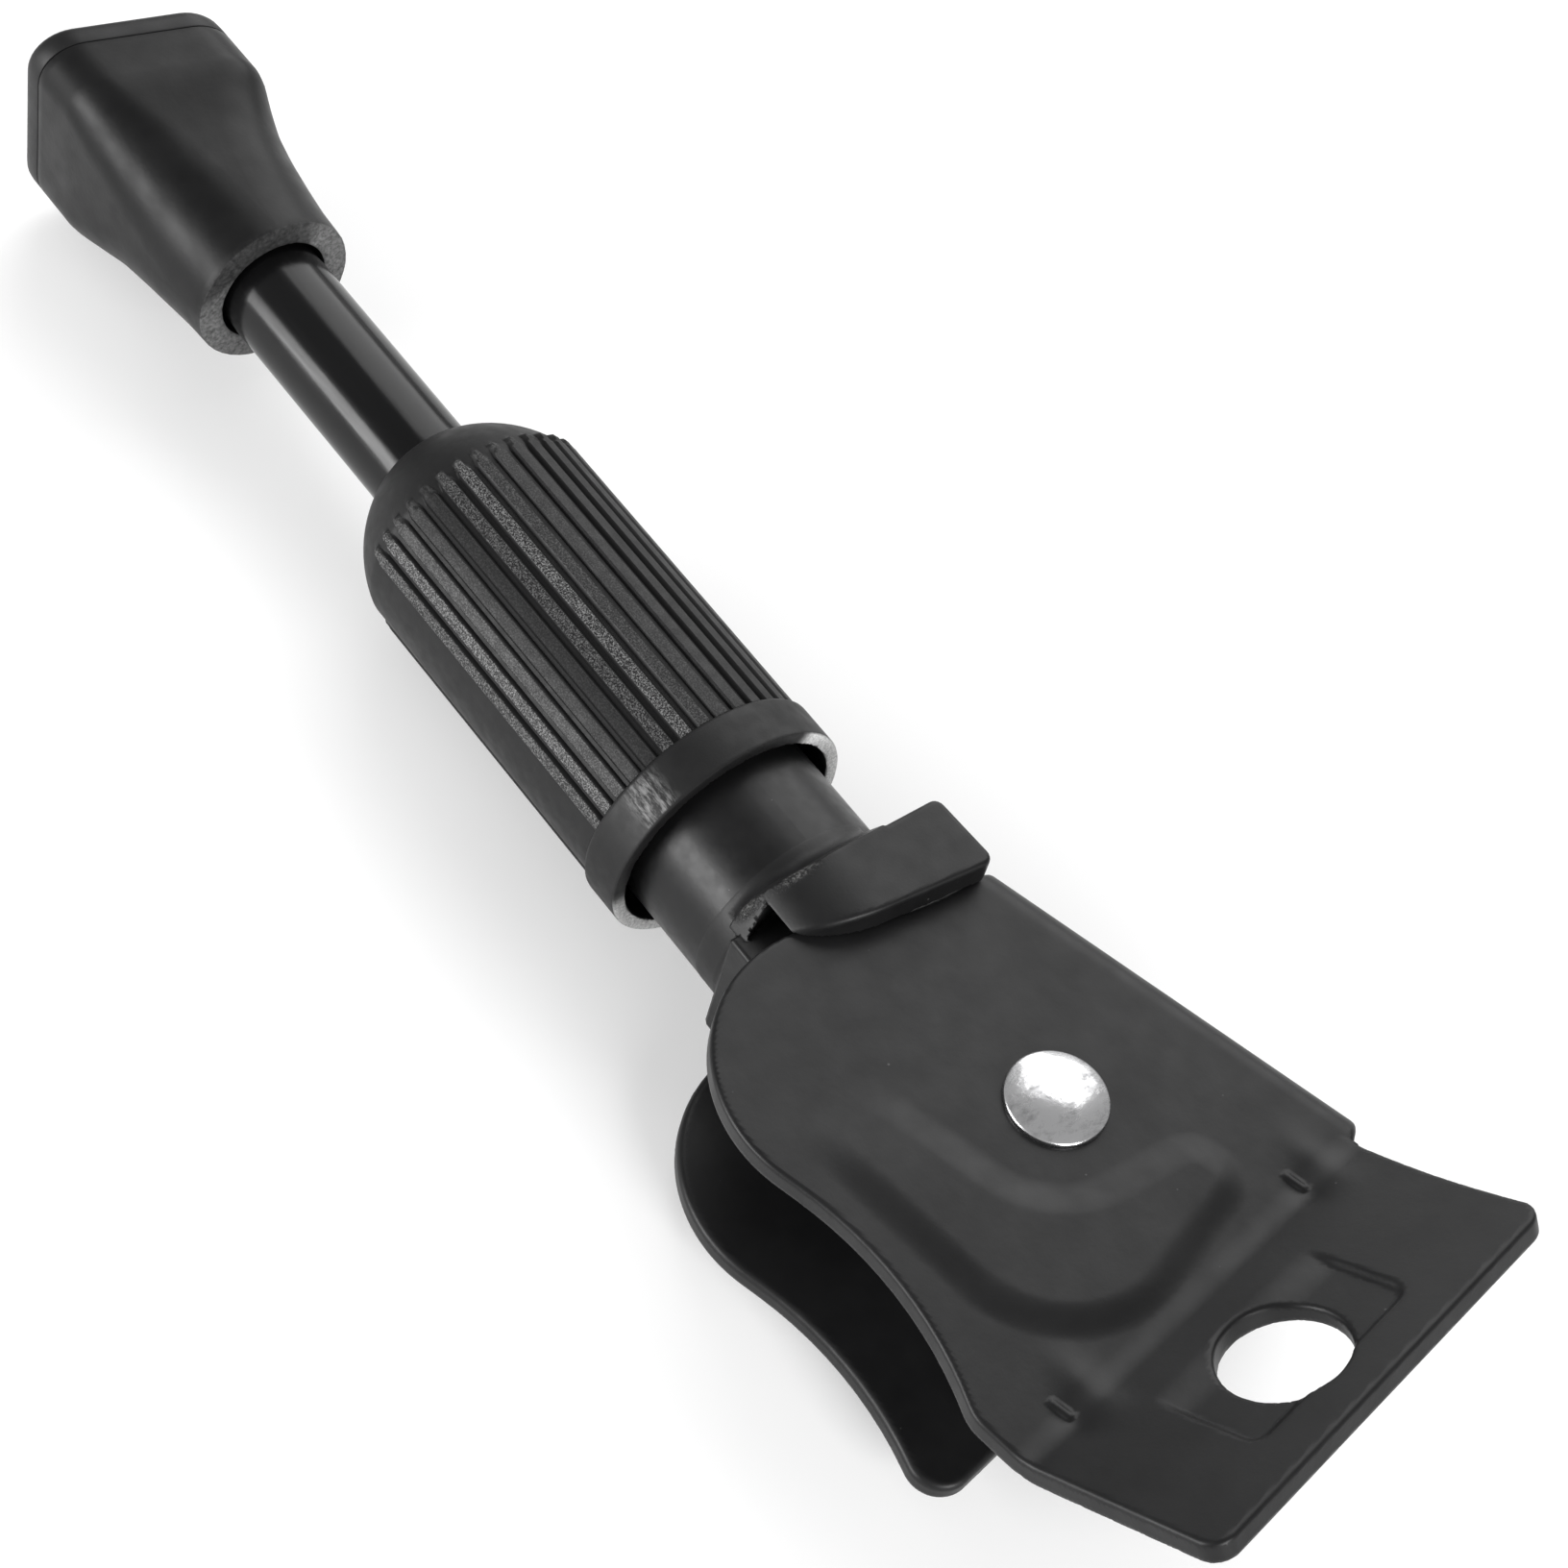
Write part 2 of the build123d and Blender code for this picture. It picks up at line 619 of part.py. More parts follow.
# guide bush in the tube, with a cross hole for the key that stops the rod turning
with BuildPart() as guide_bush:
    with BuildSketch(leg_section(GUIDE_START)):
        Circle(TUBE_INSIDE)
        Circle(THREAD_RADIUS + RUNNING_GAP, mode=Mode.SUBTRACT)
    extrude(amount=GUIDE_END - GUIDE_START)
    with BuildSketch(leg_level(MID_Z)):
        with Locations((KEY_X, 0)):
            Circle(KEY_RADIUS)
    extrude(amount=TUBE_RADIUS + 1, mode=Mode.SUBTRACT)
finish(guide_bush, "guide_bush")

with BuildPart() as guide_key:
    with BuildSketch(leg_level(MID_Z + KEY_REACH)):
        with Locations((KEY_X, 0)):
            Circle(KEY_RADIUS)
    extrude(amount=TUBE_RADIUS - FIT_GAP - KEY_REACH)
finish(guide_key, "guide_key")

thrust_washer = ring(TUBE_TOP, TUBE_TOP + THRUST_WASHER, TUBE_RADIUS - SIDE_GAP, THRUST_HOLE)
finish(thrust_washer, "thrust_washer")

# ---- grip: a hollow sleeve with a plain band, a ribbed barrel and a dome round the rod
with BuildPart() as grip_sleeve:
    with BuildSketch(leg_side()):
        with BuildLine():
            dome_start = (RIB_END + BAND_CHAMFER, BARREL_RADIUS)
            Polyline(
                (DOME_END, DOME_HOLE + DOME_LIP),
                (DOME_END, DOME_HOLE),
                (WIPER_END, DOME_HOLE),
                (WIPER_END, WIPER_RADIUS),
                (WIPER_START, WIPER_RADIUS),
                (WIPER_START, DOME_HOLE),
                (NUT_END, DOME_HOLE),
                (NUT_END, NUT_RADIUS),
                (NUT_START, NUT_RADIUS),
                (NUT_START, LAND_INSIDE),
                (RING_GROOVE_X + RING_GROOVE_WIDTH, LAND_INSIDE),
                (RING_GROOVE_X + RING_GROOVE_WIDTH, RING_SEAT),
                (RING_GROOVE_X, RING_SEAT),
                (RING_GROOVE_X, LAND_INSIDE),
                (GRIP_START + SKIRT_DEPTH + SKIRT_SLOPE, LAND_INSIDE),
                (GRIP_START + SKIRT_DEPTH, SKIRT_INSIDE),
                (GRIP_START, SKIRT_INSIDE),
                (GRIP_START, BAND_RADIUS),
                (BAND_TOP - BAND_CHAMFER, BAND_RADIUS),
                (BAND_TOP, RIB_TOP_RADIUS),
                (BAND_TOP, BARREL_RADIUS),
                dome_start,
            )
            ThreePointArc(dome_start, DOME_MIDDLE, (DOME_END, DOME_HOLE + DOME_LIP))
        make_face()
    revolve(axis=LEG_AXIS)

    # two fields of straight ribs with flat tops, and a plain strip between them on each side
    with BuildSketch(leg_section(BAND_TOP - RIB_SINK)):
        for rib_side in RIB_SIDES:
            first = rib_side - RIB_PITCH * (RIB_COUNT - 1) / 2
            with PolarLocations(0, RIB_COUNT, first, RIB_PITCH * RIB_COUNT):
                Polygon(
                    (BARREL_RADIUS - RIB_SINK, -RIB_FOOT / 2),
                    (BARREL_RADIUS, -RIB_FOOT / 2),
                    (RIB_TOP_RADIUS, -RIB_FLAT / 2),
                    (RIB_TOP_RADIUS, RIB_FLAT / 2),
                    (BARREL_RADIUS, RIB_FOOT / 2),
                    (BARREL_RADIUS - RIB_SINK, RIB_FOOT / 2),
                    align=None,
                )
    extrude(amount=RIB_END - BAND_TOP + RIB_SINK)

    # seat of the key that turns the nut
    with BuildSketch(leg_section(NUT_START)):
        with Locations((0, (NUT_KEY_INNER + NUT_KEY_OUTER) / 2)):
            Rectangle(NUT_KEY_WIDTH, NUT_KEY_OUTER - NUT_KEY_INNER)
    extrude(amount=NUT_END - NUT_START, mode=Mode.SUBTRACT)
finish(grip_sleeve, "grip_sleeve")

with BuildPart() as drive_nut:
    with BuildSketch(leg_section(NUT_START)):
        Circle(NUT_RADIUS)
        Circle(THREAD_RADIUS + RUNNING_GAP, mode=Mode.SUBTRACT)
        with Locations((0, (NUT_KEY_INNER + NUT_KEY_OUTER) / 2)):
            Rectangle(NUT_KEY_WIDTH, NUT_KEY_OUTER - NUT_KEY_INNER, mode=Mode.SUBTRACT)
    extrude(amount=NUT_END - NUT_START)
finish(drive_nut, "drive_nut")

with BuildPart() as nut_key:
    with BuildSketch(leg_section(NUT_START + SIDE_GAP)):
        with Locations((0, (NUT_KEY_INNER + NUT_KEY_OUTER) / 2)):
            Rectangle(NUT_KEY_WIDTH, NUT_KEY_OUTER - NUT_KEY_INNER)
    extrude(amount=NUT_END - NUT_START - SIDE_GAP)
finish(nut_key, "nut_key")

rod_wiper = ring(WIPER_START, WIPER_END, WIPER_RADIUS, ROD_RADIUS + RUNNING_GAP)
finish(rod_wiper, "rod_wiper")

# ---- rod: plain and bright outside, reduced inside for the thread, with a keyway and an end spigot
with BuildPart() as inner_rod:
    with BuildSketch(leg_side()):
        with BuildLine():
            Polyline(
                (THREAD_START, 0),
                (ROD_END, 0),
                (ROD_END, SPIGOT_RADIUS),
                (SPIGOT_START, SPIGOT_RADIUS),
                (SPIGOT_START, ROD_RADIUS),
                (THREAD_END, ROD_RADIUS),
                (THREAD_END, THREAD_RADIUS),
                (THREAD_START + 1, THREAD_RADIUS),
                (THREAD_START, THREAD_RADIUS - 1),
                close=True,
            )
        make_face()
    revolve(axis=LEG_AXIS)
    with BuildSketch(leg_level(MID_Z + KEY_REACH - SIDE_GAP)):
        with Locations(((KEYWAY_START + KEYWAY_END) / 2, 0)):
            SlotOverall(KEYWAY_END - KEYWAY_START, KEYWAY_WIDTH)
    extrude(amount=ROD_RADIUS, mode=Mode.SUBTRACT)
    with BuildSketch(leg_section(ROD_END)):
        Circle(FOOT_SCREW_RADIUS)
    extrude(amount=-FOOT_SCREW_DEPTH, mode=Mode.SUBTRACT)
finish(inner_rod, "inner_rod")

# ---- foot: a rubber boot over a hard core, closed by a thin sole pad on a leaning face
block_start, block_wide, block_deep, block_corner, FOOT_LEAN = FOOT_SECTIONS[-1]
block_deep_on_slope = block_deep / math.cos(math.radians(FOOT_LEAN))

with BuildPart() as foot_boot:
    for place, half_wide, half_deep, corner, lean in FOOT_SECTIONS:
        with BuildSketch(leg_section(place, FOOT_SHIFT * lean / FOOT_LEAN, lean)):
            RectangleRounded(2 * half_wide, 2 * half_deep / math.cos(math.radians(lean)), corner)
    loft()
    with BuildSketch(leg_section(block_start, FOOT_SHIFT, FOOT_LEAN)):
        RectangleRounded(2 * block_wide, 2 * block_deep_on_slope, block_corner)
    extrude(amount=SEAM_X - block_start, dir=(1, 0, 0))

    # bore round the rod, then the wider seat of the hard core
    with BuildSketch(leg_section(FOOT_SECTIONS[0][0] - 1)):
        Circle(COLLAR_BORE)
    extrude(amount=BEYOND, mode=Mode.SUBTRACT)
    with BuildSketch(leg_section(CORE_START)):
        Circle(CORE_RADIUS)
    extrude(amount=BEYOND, mode=Mode.SUBTRACT)
finish(foot_boot, "foot_boot")

with BuildPart() as foot_core:
    with BuildSketch(leg_section(CORE_START)):
        Circle(CORE_RADIUS)
    extrude(amount=BEYOND)
    split(bisect_by=leg_section(SEAM_X, FOOT_SHIFT, FOOT_LEAN), keep=Keep.BOTTOM)
    with BuildSketch(leg_section(CORE_START)):
        Circle(ROD_RADIUS)
    extrude(amount=SPIGOT_START - CORE_START, mode=Mode.SUBTRACT)
    with BuildSketch(leg_section(SPIGOT_START)):
        Circle(SPIGOT_RADIUS)
    extrude(amount=ROD_END - SPIGOT_START, mode=Mode.SUBTRACT)
    with BuildSketch(leg_section(ROD_END)):
        Circle(SCREW_POCKET)
    extrude(amount=BEYOND, mode=Mode.SUBTRACT)
finish(foot_core, "foot_core")

foot_washer = ring(ROD_END, ROD_END + FOOT_WASHER, FOOT_WASHER_RADIUS, FOOT_SCREW_RADIUS + RUNNING_GAP)
finish(foot_washer, "foot_washer")

with BuildPart() as foot_screw:
    with BuildSketch(leg_section(ROD_END - FOOT_SCREW_DEPTH + FOOT_SCREW_END_GAP)):
        Circle(FOOT_SCREW_RADIUS)
    extrude(amount=FOOT_SCREW_DEPTH - FOOT_SCREW_END_GAP + FOOT_WASHER)
    with BuildSketch(leg_section(ROD_END + FOOT_WASHER)):
        Circle(FOOT_SCREW_HEAD)
    extrude(amount=FOOT_SCREW_HEAD_HEIGHT)
    with BuildSketch(leg_section(ROD_END + FOOT_WASHER + FOOT_SCREW_HEAD_HEIGHT)):
        RegularPolygon(FOOT_SCREW_SOCKET, 6)
    extrude(amount=-FOOT_SOCKET_DEPTH, mode=Mode.SUBTRACT)
finish(foot_screw, "foot_screw")

with BuildPart() as sole_pad:
    with BuildSketch(leg_section(SEAM_X, FOOT_SHIFT, FOOT_LEAN)):
        RectangleRounded(2 * block_wide, 2 * block_deep_on_slope, block_corner)
    extrude(amount=PAD_X - SEAM_X, dir=(1, 0, 0))
    sole_face = sole_pad.faces().sort_by(Axis.X)[-1]
    fillet(sole_face.edges(), radius=PAD_ROUND)
finish(sole_pad, "sole_pad")
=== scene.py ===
import json
import math

import bpy
import numpy as np
from mathutils import Matrix, Vector


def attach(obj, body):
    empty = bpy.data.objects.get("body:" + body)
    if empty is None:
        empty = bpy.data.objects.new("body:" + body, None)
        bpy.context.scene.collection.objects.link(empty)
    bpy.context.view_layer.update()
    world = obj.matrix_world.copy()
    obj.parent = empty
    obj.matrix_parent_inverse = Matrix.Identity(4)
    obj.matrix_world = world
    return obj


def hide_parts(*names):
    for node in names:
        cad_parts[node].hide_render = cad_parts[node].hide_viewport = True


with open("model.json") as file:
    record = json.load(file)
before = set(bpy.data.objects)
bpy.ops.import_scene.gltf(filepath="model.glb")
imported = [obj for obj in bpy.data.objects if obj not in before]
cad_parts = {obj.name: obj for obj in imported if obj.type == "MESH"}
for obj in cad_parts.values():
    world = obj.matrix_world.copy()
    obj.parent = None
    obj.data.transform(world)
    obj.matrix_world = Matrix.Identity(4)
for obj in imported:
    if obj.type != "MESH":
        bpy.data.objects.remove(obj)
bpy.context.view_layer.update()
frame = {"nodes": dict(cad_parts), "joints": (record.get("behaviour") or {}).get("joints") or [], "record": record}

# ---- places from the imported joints; lengths below are in millimetres unless a line says otherwise
MM = 0.001
joint_places = {j["name"]: Vector(j.get("pos_m", (0, 0, 0))) / MM for j in frame["joints"]}
RIVET_X, RIVET_Y, MID_Z = joint_places["leg_fold"]
LEG_Y = joint_places["grip_turn"].y

# bracket: sheet thickness, middle to a cheek's outside, its turn, and the bend that sets the tongue at a slope
SHEET = 2.5
CHEEK = 10.7
BRACKET_TURN = 17.3
BEND_PLACE = 21.9
BEND_SKEW = 8.0
BEND_ANGLE = math.radians(34.0)
BEND_RADIUS = 5.0

# leg: the rivet's distance from its axis, radii of its round pieces, and the foot's lean in degrees and shift
PIVOT_OFFSET = 2.5
TUBE_RADIUS = 11.0
ROD_RADIUS = 6.0
BARREL_RADIUS = 13.1
RIB_RADIUS = 13.6
BAND_RADIUS = 13.9
FOOT_LEAN = 13.5
FOOT_SHIFT = -0.7


# ---- fields: negative inside, in millimetres, on arrays of points
def round_cut(a, b, radius):
    """Intersection of two fields with a rounded edge."""
    u = np.maximum(a + radius, 0)
    v = np.maximum(b + radius, 0)
    return np.minimum(-radius, np.maximum(a, b)) + np.sqrt(u * u + v * v)


def round_join(a, b, radius):
    """Union of two fields with a filleted corner."""
    u = np.maximum(radius - a, 0)
    v = np.maximum(radius - b, 0)
    return np.maximum(radius, np.minimum(a, b)) - np.sqrt(u * u + v * v)


def rounded_box(x, y, half_x, half_y, corner):
    """Rectangle about the origin with round corners."""
    u = np.abs(x) - half_x + corner
    v = np.abs(y) - half_y + corner
    return np.hypot(np.maximum(u, 0), np.maximum(v, 0)) + np.minimum(np.maximum(u, v), 0) - corner


def capsule(x, y, z, start, end, radius):
    """Rod with round ends between two points."""
    start, end = np.array(start, float), np.array(end, float)
    along = end - start
    px, py, pz = x - start[0], y - start[1], z - start[2]
    t = np.clip((px * along[0] + py * along[1] + pz * along[2]) / (along @ along), 0, 1)
    return np.sqrt((px - t * along[0]) ** 2 + (py - t * along[1]) ** 2 + (pz - t * along[2]) ** 2) - radius


def smooth_step(x, low, high):
    """0 below low, 1 above high, with a soft rise between them."""
    t = np.clip((x - low) / (high - low), 0, 1)
    return t * t * (3 - 2 * t)


def arc(center, radius, start, sweep):
    """Points of an arc, angles in degrees."""
    angles = np.radians(np.linspace(start, start + sweep, max(3, int(abs(sweep) / 3) + 1)))
    return [(center[0] + radius * math.cos(a), center[1] + radius * math.sin(a)) for a in angles]


def arc_through(start, middle, end):
    """Points of the arc through three points."""
    (ax, ay), (bx, by), (cx, cy) = start, middle, end
    d = 2 * (ax * (by - cy) + bx * (cy - ay) + cx * (ay - by))
    ux = ((ax**2 + ay**2) * (by - cy) + (bx**2 + by**2) * (cy - ay) + (cx**2 + cy**2) * (ay - by)) / d
    uy = ((ax**2 + ay**2) * (cx - bx) + (bx**2 + by**2) * (ax - cx) + (cx**2 + cy**2) * (bx - ax)) / d
    first, last = math.atan2(ay - uy, ax - ux), math.atan2(cy - uy, cx - ux)
    side = math.atan2(by - uy, bx - ux)
    sweep = (last - first) % (2 * math.pi)
    if (side - first) % (2 * math.pi) > sweep:
        sweep -= 2 * math.pi
    return arc((ux, uy), math.hypot(ax - ux, ay - uy), math.degrees(first), math.degrees(sweep))


def corner(before, at, after, radius):
    """Points of a round corner."""
    p, a, b = Vector(at), Vector(before) - Vector(at), Vector(after) - Vector(at)
    half = a.angle(b) / 2
    reach = radius / math.tan(half)
    first, last = p + a.normalized() * reach, p + b.normalized() * reach
    middle = p + (a.normalized() + b.normalized()).normalized() * (radius / math.sin(half) - radius)
    return arc_through(tuple(first), tuple(middle), tuple(last))


class Outline:
    """Distance to a closed outline, or to an open line, looked up on a fine flat grid."""

    STEP = 0.25
    MARGIN = 9.0
    OFF_GRID = 0.0137

    def __init__(self, points, closed=True):
        p = np.array(points, float)
        self.low = p.min(0) - self.MARGIN - self.OFF_GRID
        size = np.ceil((p.max(0) + self.MARGIN - self.low) / self.STEP).astype(int) + 2
        x = self.low[0] + self.STEP * np.arange(size[0])[:, None]
        y = self.low[1] + self.STEP * np.arange(size[1])[None, :]
        nearest = np.full((size[0], size[1]), 1e9)
        inside = np.zeros((size[0], size[1]), bool)
        ends = np.roll(p, -1, axis=0) if closed else p[1:]
        for (ax, ay), (bx, by) in zip(p, ends):
            dx, dy = bx - ax, by - ay
            length = dx * dx + dy * dy
            if length < 1e-12:
                continue
            t = np.clip(((x - ax) * dx + (y - ay) * dy) / length, 0, 1)
            nearest = np.minimum(nearest, (x - ax - t * dx) ** 2 + (y - ay - t * dy) ** 2)
            if abs(dy) > 1e-9:
                crosses = ((y >= ay) != (y >= by)) & (x < ax + (y - ay) / dy * dx)
                inside ^= crosses
        distance = np.sqrt(nearest)
        self.grid = np.where(inside, -distance, distance) if closed else distance

    def __call__(self, x, y):
        fx = np.clip((x - self.low[0]) / self.STEP, 0, self.grid.shape[0] - 1.001)
        fy = np.clip((y - self.low[1]) / self.STEP, 0, self.grid.shape[1] - 1.001)
        fx, fy = np.broadcast_arrays(fx, fy)
        i, j = fx.astype(int), fy.astype(int)
        u, v = fx - i, fy - j
        g = self.grid
        near = g[i, j] * (1 - u) + g[i + 1, j] * u
        far = g[i, j + 1] * (1 - u) + g[i + 1, j + 1] * u
        return near * (1 - v) + far * v


def gradient(field, points, step=0.04):
    """Slope of a field at points, by central differences."""
    slope = np.empty_like(points)
    for k in range(3):
        shift = np.zeros(3)
        shift[k] = step
        high, low = points + shift, points - shift
        slope[:, k] = field(*high.T) - field(*low.T)
    return slope / (2 * step)


def surface_of(field, low, high, step):
    """Quads on the zero surface of a field: one point in each cell that the surface passes, moved onto it."""
    axes = [np.arange(a, b + step, step) for a, b in zip(low, high)]
    d = np.empty([len(a) for a in axes], np.float32)
    for i, x in enumerate(axes[0]):
        d[i] = field(*np.broadcast_arrays(x, axes[1][:, None], axes[2][None, :]))
    cells = tuple(n - 1 for n in d.shape)
    place = np.zeros((int(np.prod(cells)), 3))
    count = np.zeros(len(place), np.int32)
    quads = []
    for k in range(3):
        near, far = [slice(None)] * 3, [slice(None)] * 3
        near[k], far[k] = slice(0, -1), slice(1, None)
        d0, d1 = d[tuple(near)], d[tuple(far)]
        crossing = (d0 < 0) != (d1 < 0)
        index = np.argwhere(crossing)
        f0, f1 = d0[crossing], d1[crossing]
        point = index.astype(float)
        point[:, k] += f0 / (f0 - f1)
        ring = []
        for da, db in ((-1, -1), (0, -1), (0, 0), (-1, 0)):
            cell = index.copy()
            cell[:, (k + 1) % 3] += da
            cell[:, (k + 2) % 3] += db
            flat = np.ravel_multi_index(cell.T, cells)
            ring.append(flat)
            np.add.at(place, flat, point)
            np.add.at(count, flat, 1)
        quad = np.stack(ring, 1)
        quad[f0 > 0] = quad[f0 > 0][:, ::-1]
        quads.append(quad)
    used = np.flatnonzero(count)
    number = np.full(len(place), -1)
    number[used] = np.arange(len(used))
    points = place[used] / count[used][:, None] * step + np.array(low, float)
    for _ in range(3):
        slope = gradient(field, points)
        size = np.maximum((slope**2).sum(1), 0.05)
        move = -(field(*points.T) / size)[:, None] * slope
        reach = np.linalg.norm(move, axis=1, keepdims=True)
        points += move * np.minimum(1, 0.5 * step / np.maximum(reach, 1e-9))
    slope = gradient(field, points, 0.10)
    normals = slope / np.maximum(np.linalg.norm(slope, axis=1, keepdims=True), 1e-9)
    return points, number[np.concatenate(quads)], normals


# ---- meshes
def new_piece(name, points, faces, body, nodes, material, normals=None, attributes=None):
    """Mesh object from points in millimetres in the row frame, which stands for CAD nodes."""
    mesh = bpy.data.meshes.new(name)
    mesh.vertices.add(len(points))
    mesh.vertices.foreach_set("co", (np.asarray(points, float) * MM).astype(np.float32).ravel())
    faces = [list(f) for f in faces] if not isinstance(faces, np.ndarray) else faces
    sizes = np.array([len(f) for f in faces])
    starts = np.concatenate([[0], np.cumsum(sizes)[:-1]])
    mesh.loops.add(int(sizes.sum()))
    mesh.loops.foreach_set("vertex_index", np.concatenate([np.asarray(f) for f in faces]).astype(np.int32))
    mesh.polygons.add(len(sizes))
    mesh.polygons.foreach_set("loop_start", starts.astype(np.int32))
    mesh.update(calc_edges=True)
    mesh.validate()
    mesh.shade_smooth()
    for label, values in (attributes or {}).items():
        layer = mesh.attributes.new(label, "FLOAT", "POINT")
        layer.data.foreach_set("value", np.asarray(values, np.float32))
    if normals is not None:
        mesh.normals_split_custom_set_from_vertices(normals.tolist())
    mesh.materials.append(material)
    piece = bpy.data.objects.new(name, mesh)
    bpy.context.scene.collection.objects.link(piece)
    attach(piece, body)
    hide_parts(*nodes)
    return piece


def sharpen(piece, degrees):
    """Edges turned more than an angle are shaded sharp."""
    piece.data.set_sharp_from_angle(angle=math.radians(degrees))


def grid_faces(rows, columns, closed_rows=False):
    """Quads of a grid whose columns close on themselves."""
    faces = []
    last = rows if closed_rows else rows - 1
    for i in range(last):
        a, b = i * columns, ((i + 1) % rows) * columns
        for j in range(columns):
            k = (j + 1) % columns
            faces.append((a + j, a + k, b + k, b + j))
    return np.array(faces)


def end_caps(count, columns):
    """Polygons that close the first and the last ring of a grid."""
    return [tuple(range(columns)), tuple(range(count - 1, count - 1 - columns, -1))]


def on_leg(along, radius, angle):
    """Points round the leg: the angle is from +Z towards the web side."""
    along, radius, angle = np.broadcast_arrays(along, radius, angle)
    return np.stack(
        [RIVET_X + along, LEG_Y - radius * np.sin(angle), MID_Z + radius * np.cos(angle)], -1
    ).reshape(-1, 3)


# ---- materials
class Shade:
    """Small helper that builds a node material round one Principled shader."""

    def __init__(self, name, colour, roughness, metallic=0.0, specular=0.5):
        self.material = bpy.data.materials.new(name)
        self.material.use_nodes = True
        self.tree = self.material.node_tree
        self.shader = self.tree.nodes["Principled BSDF"]
        self.shader.inputs["Base Color"].default_value = (*colour, 1)
        self.shader.inputs["Roughness"].default_value = roughness
        self.shader.inputs["Metallic"].default_value = metallic
        self.shader.inputs["Specular IOR Level"].default_value = specular
        self.height = None

    def node(self, kind, **settings):
        """New node, with its inputs or its own settings set by name."""
        made = self.tree.nodes.new(kind)
        for key, value in settings.items():
            if key in made.inputs:
                made.inputs[key].default_value = value
            else:
                setattr(made, key, value)
        return made

    def link(self, source, target):
        self.tree.links.new(source, target)

    def position(self, stretch=(1, 1, 1)):
        """Object coordinates in millimetres."""
        where = self.node("ShaderNodeTexCoord")
        scale = self.node("ShaderNodeMapping")
        scale.inputs["Scale"].default_value = [s / MM for s in stretch]
        self.link(where.outputs["Object"], scale.inputs["Vector"])
        return scale.outputs["Vector"]

    def noise(self, size, detail=2.0, roughness=0.5, stretch=(1, 1, 1)):
        """Noise with features of a size in millimetres."""
        made = self.node("ShaderNodeTexNoise", Scale=1 / size, Detail=detail, Roughness=roughness)
        self.link(self.position(stretch), made.inputs["Vector"])
        return made.outputs["Fac"]

    def spots(self, size, share):
        """Small round spots, 1 inside: size is their spacing in millimetres, share how many cells hold one."""
        cells = self.node("ShaderNodeTexVoronoi", Scale=1 / size)
        self.link(self.position(), cells.inputs["Vector"])
        near = self.ramp(cells.outputs["Distance"], 0.055, 0.03)
        picked = self.node("ShaderNodeSeparateColor")
        self.link(cells.outputs["Color"], picked.inputs["Color"])
        chosen = self.ramp(picked.outputs["Red"], share + 0.01, share)
        return self.math("MULTIPLY", near, chosen)

    def ramp(self, value, low, high, out_low=0.0, out_high=1.0):
        """Straight map of a value from low..high to out_low..out_high, held at the ends."""
        made = self.node("ShaderNodeMapRange", clamp=True)
        made.inputs["From Min"].default_value = low
        made.inputs["From Max"].default_value = high
        made.inputs["To Min"].default_value = out_low
        made.inputs["To Max"].default_value = out_high
        self.link(value, made.inputs["Value"])
        return made.outputs["Result"]

    def math(self, operation, a, b):
        """Sum, product and so on of two values, either of which may be a socket."""
        made = self.node("ShaderNodeMath", operation=operation)
        for k, value in enumerate((a, b)):
            if isinstance(value, (int, float)):
                made.inputs[k].default_value = value
            else:
                self.link(value, made.inputs[k])
        return made.outputs["Value"]

    def attribute(self, name):
        return self.node("ShaderNodeAttribute", attribute_name=name).outputs["Fac"]

    def mix(self, factor, a, b):
        """Colour between a and b, either of which may be a socket."""
        made = self.node("ShaderNodeMix", data_type="RGBA")
        self.link(factor, made.inputs["Factor"])
        for key, value in (("A", a), ("B", b)):
            socket = [s for s in made.inputs if s.name == key and s.type == "RGBA"][0]
            if isinstance(value, tuple):
                socket.default_value = (*value, 1)
            else:
                self.link(value, socket)
        return [s for s in made.outputs if s.type == "RGBA"][0]

    def colour(self, source):
        self.link(source, self.shader.inputs["Base Color"])

    def roughness(self, source):
        self.link(source, self.shader.inputs["Roughness"])

    def bump(self, source, depth):
        """Bump of a depth in millimetres, stacked on the ones before."""
        made = self.node("ShaderNodeBump", Strength=1.0, Distance=depth * MM)
        self.link(source, made.inputs["Height"])
        if self.height is not None:
            self.link(self.height, made.inputs["Normal"])
        self.height = made.outputs["Normal"]
        self.link(self.height, self.shader.inputs["Normal"])


def powder_coat():
    """Satin black powder coat: soft orange peel and fine dust."""
    s = Shade("powder_coat", (0.008, 0.008, 0.0085), 0.42, specular=0.24)
    cloud = s.noise(9.0, 3.0)
    base = s.mix(s.ramp(cloud, 0.35, 0.7), (0.006, 0.006, 0.0063), (0.010, 0.010, 0.0103))
    dust = s.spots(2.7, 0.22)
    s.colour(s.mix(s.math("MULTIPLY", dust, 0.16), base, (0.30, 0.30, 0.30)))
    s.roughness(s.ramp(s.noise(3.0, 4.0), 0.3, 0.7, 0.38, 0.47))
    s.bump(s.noise(0.9, 2.0), 0.012)
    s.bump(s.noise(0.22, 2.0), 0.004)
    return s.material


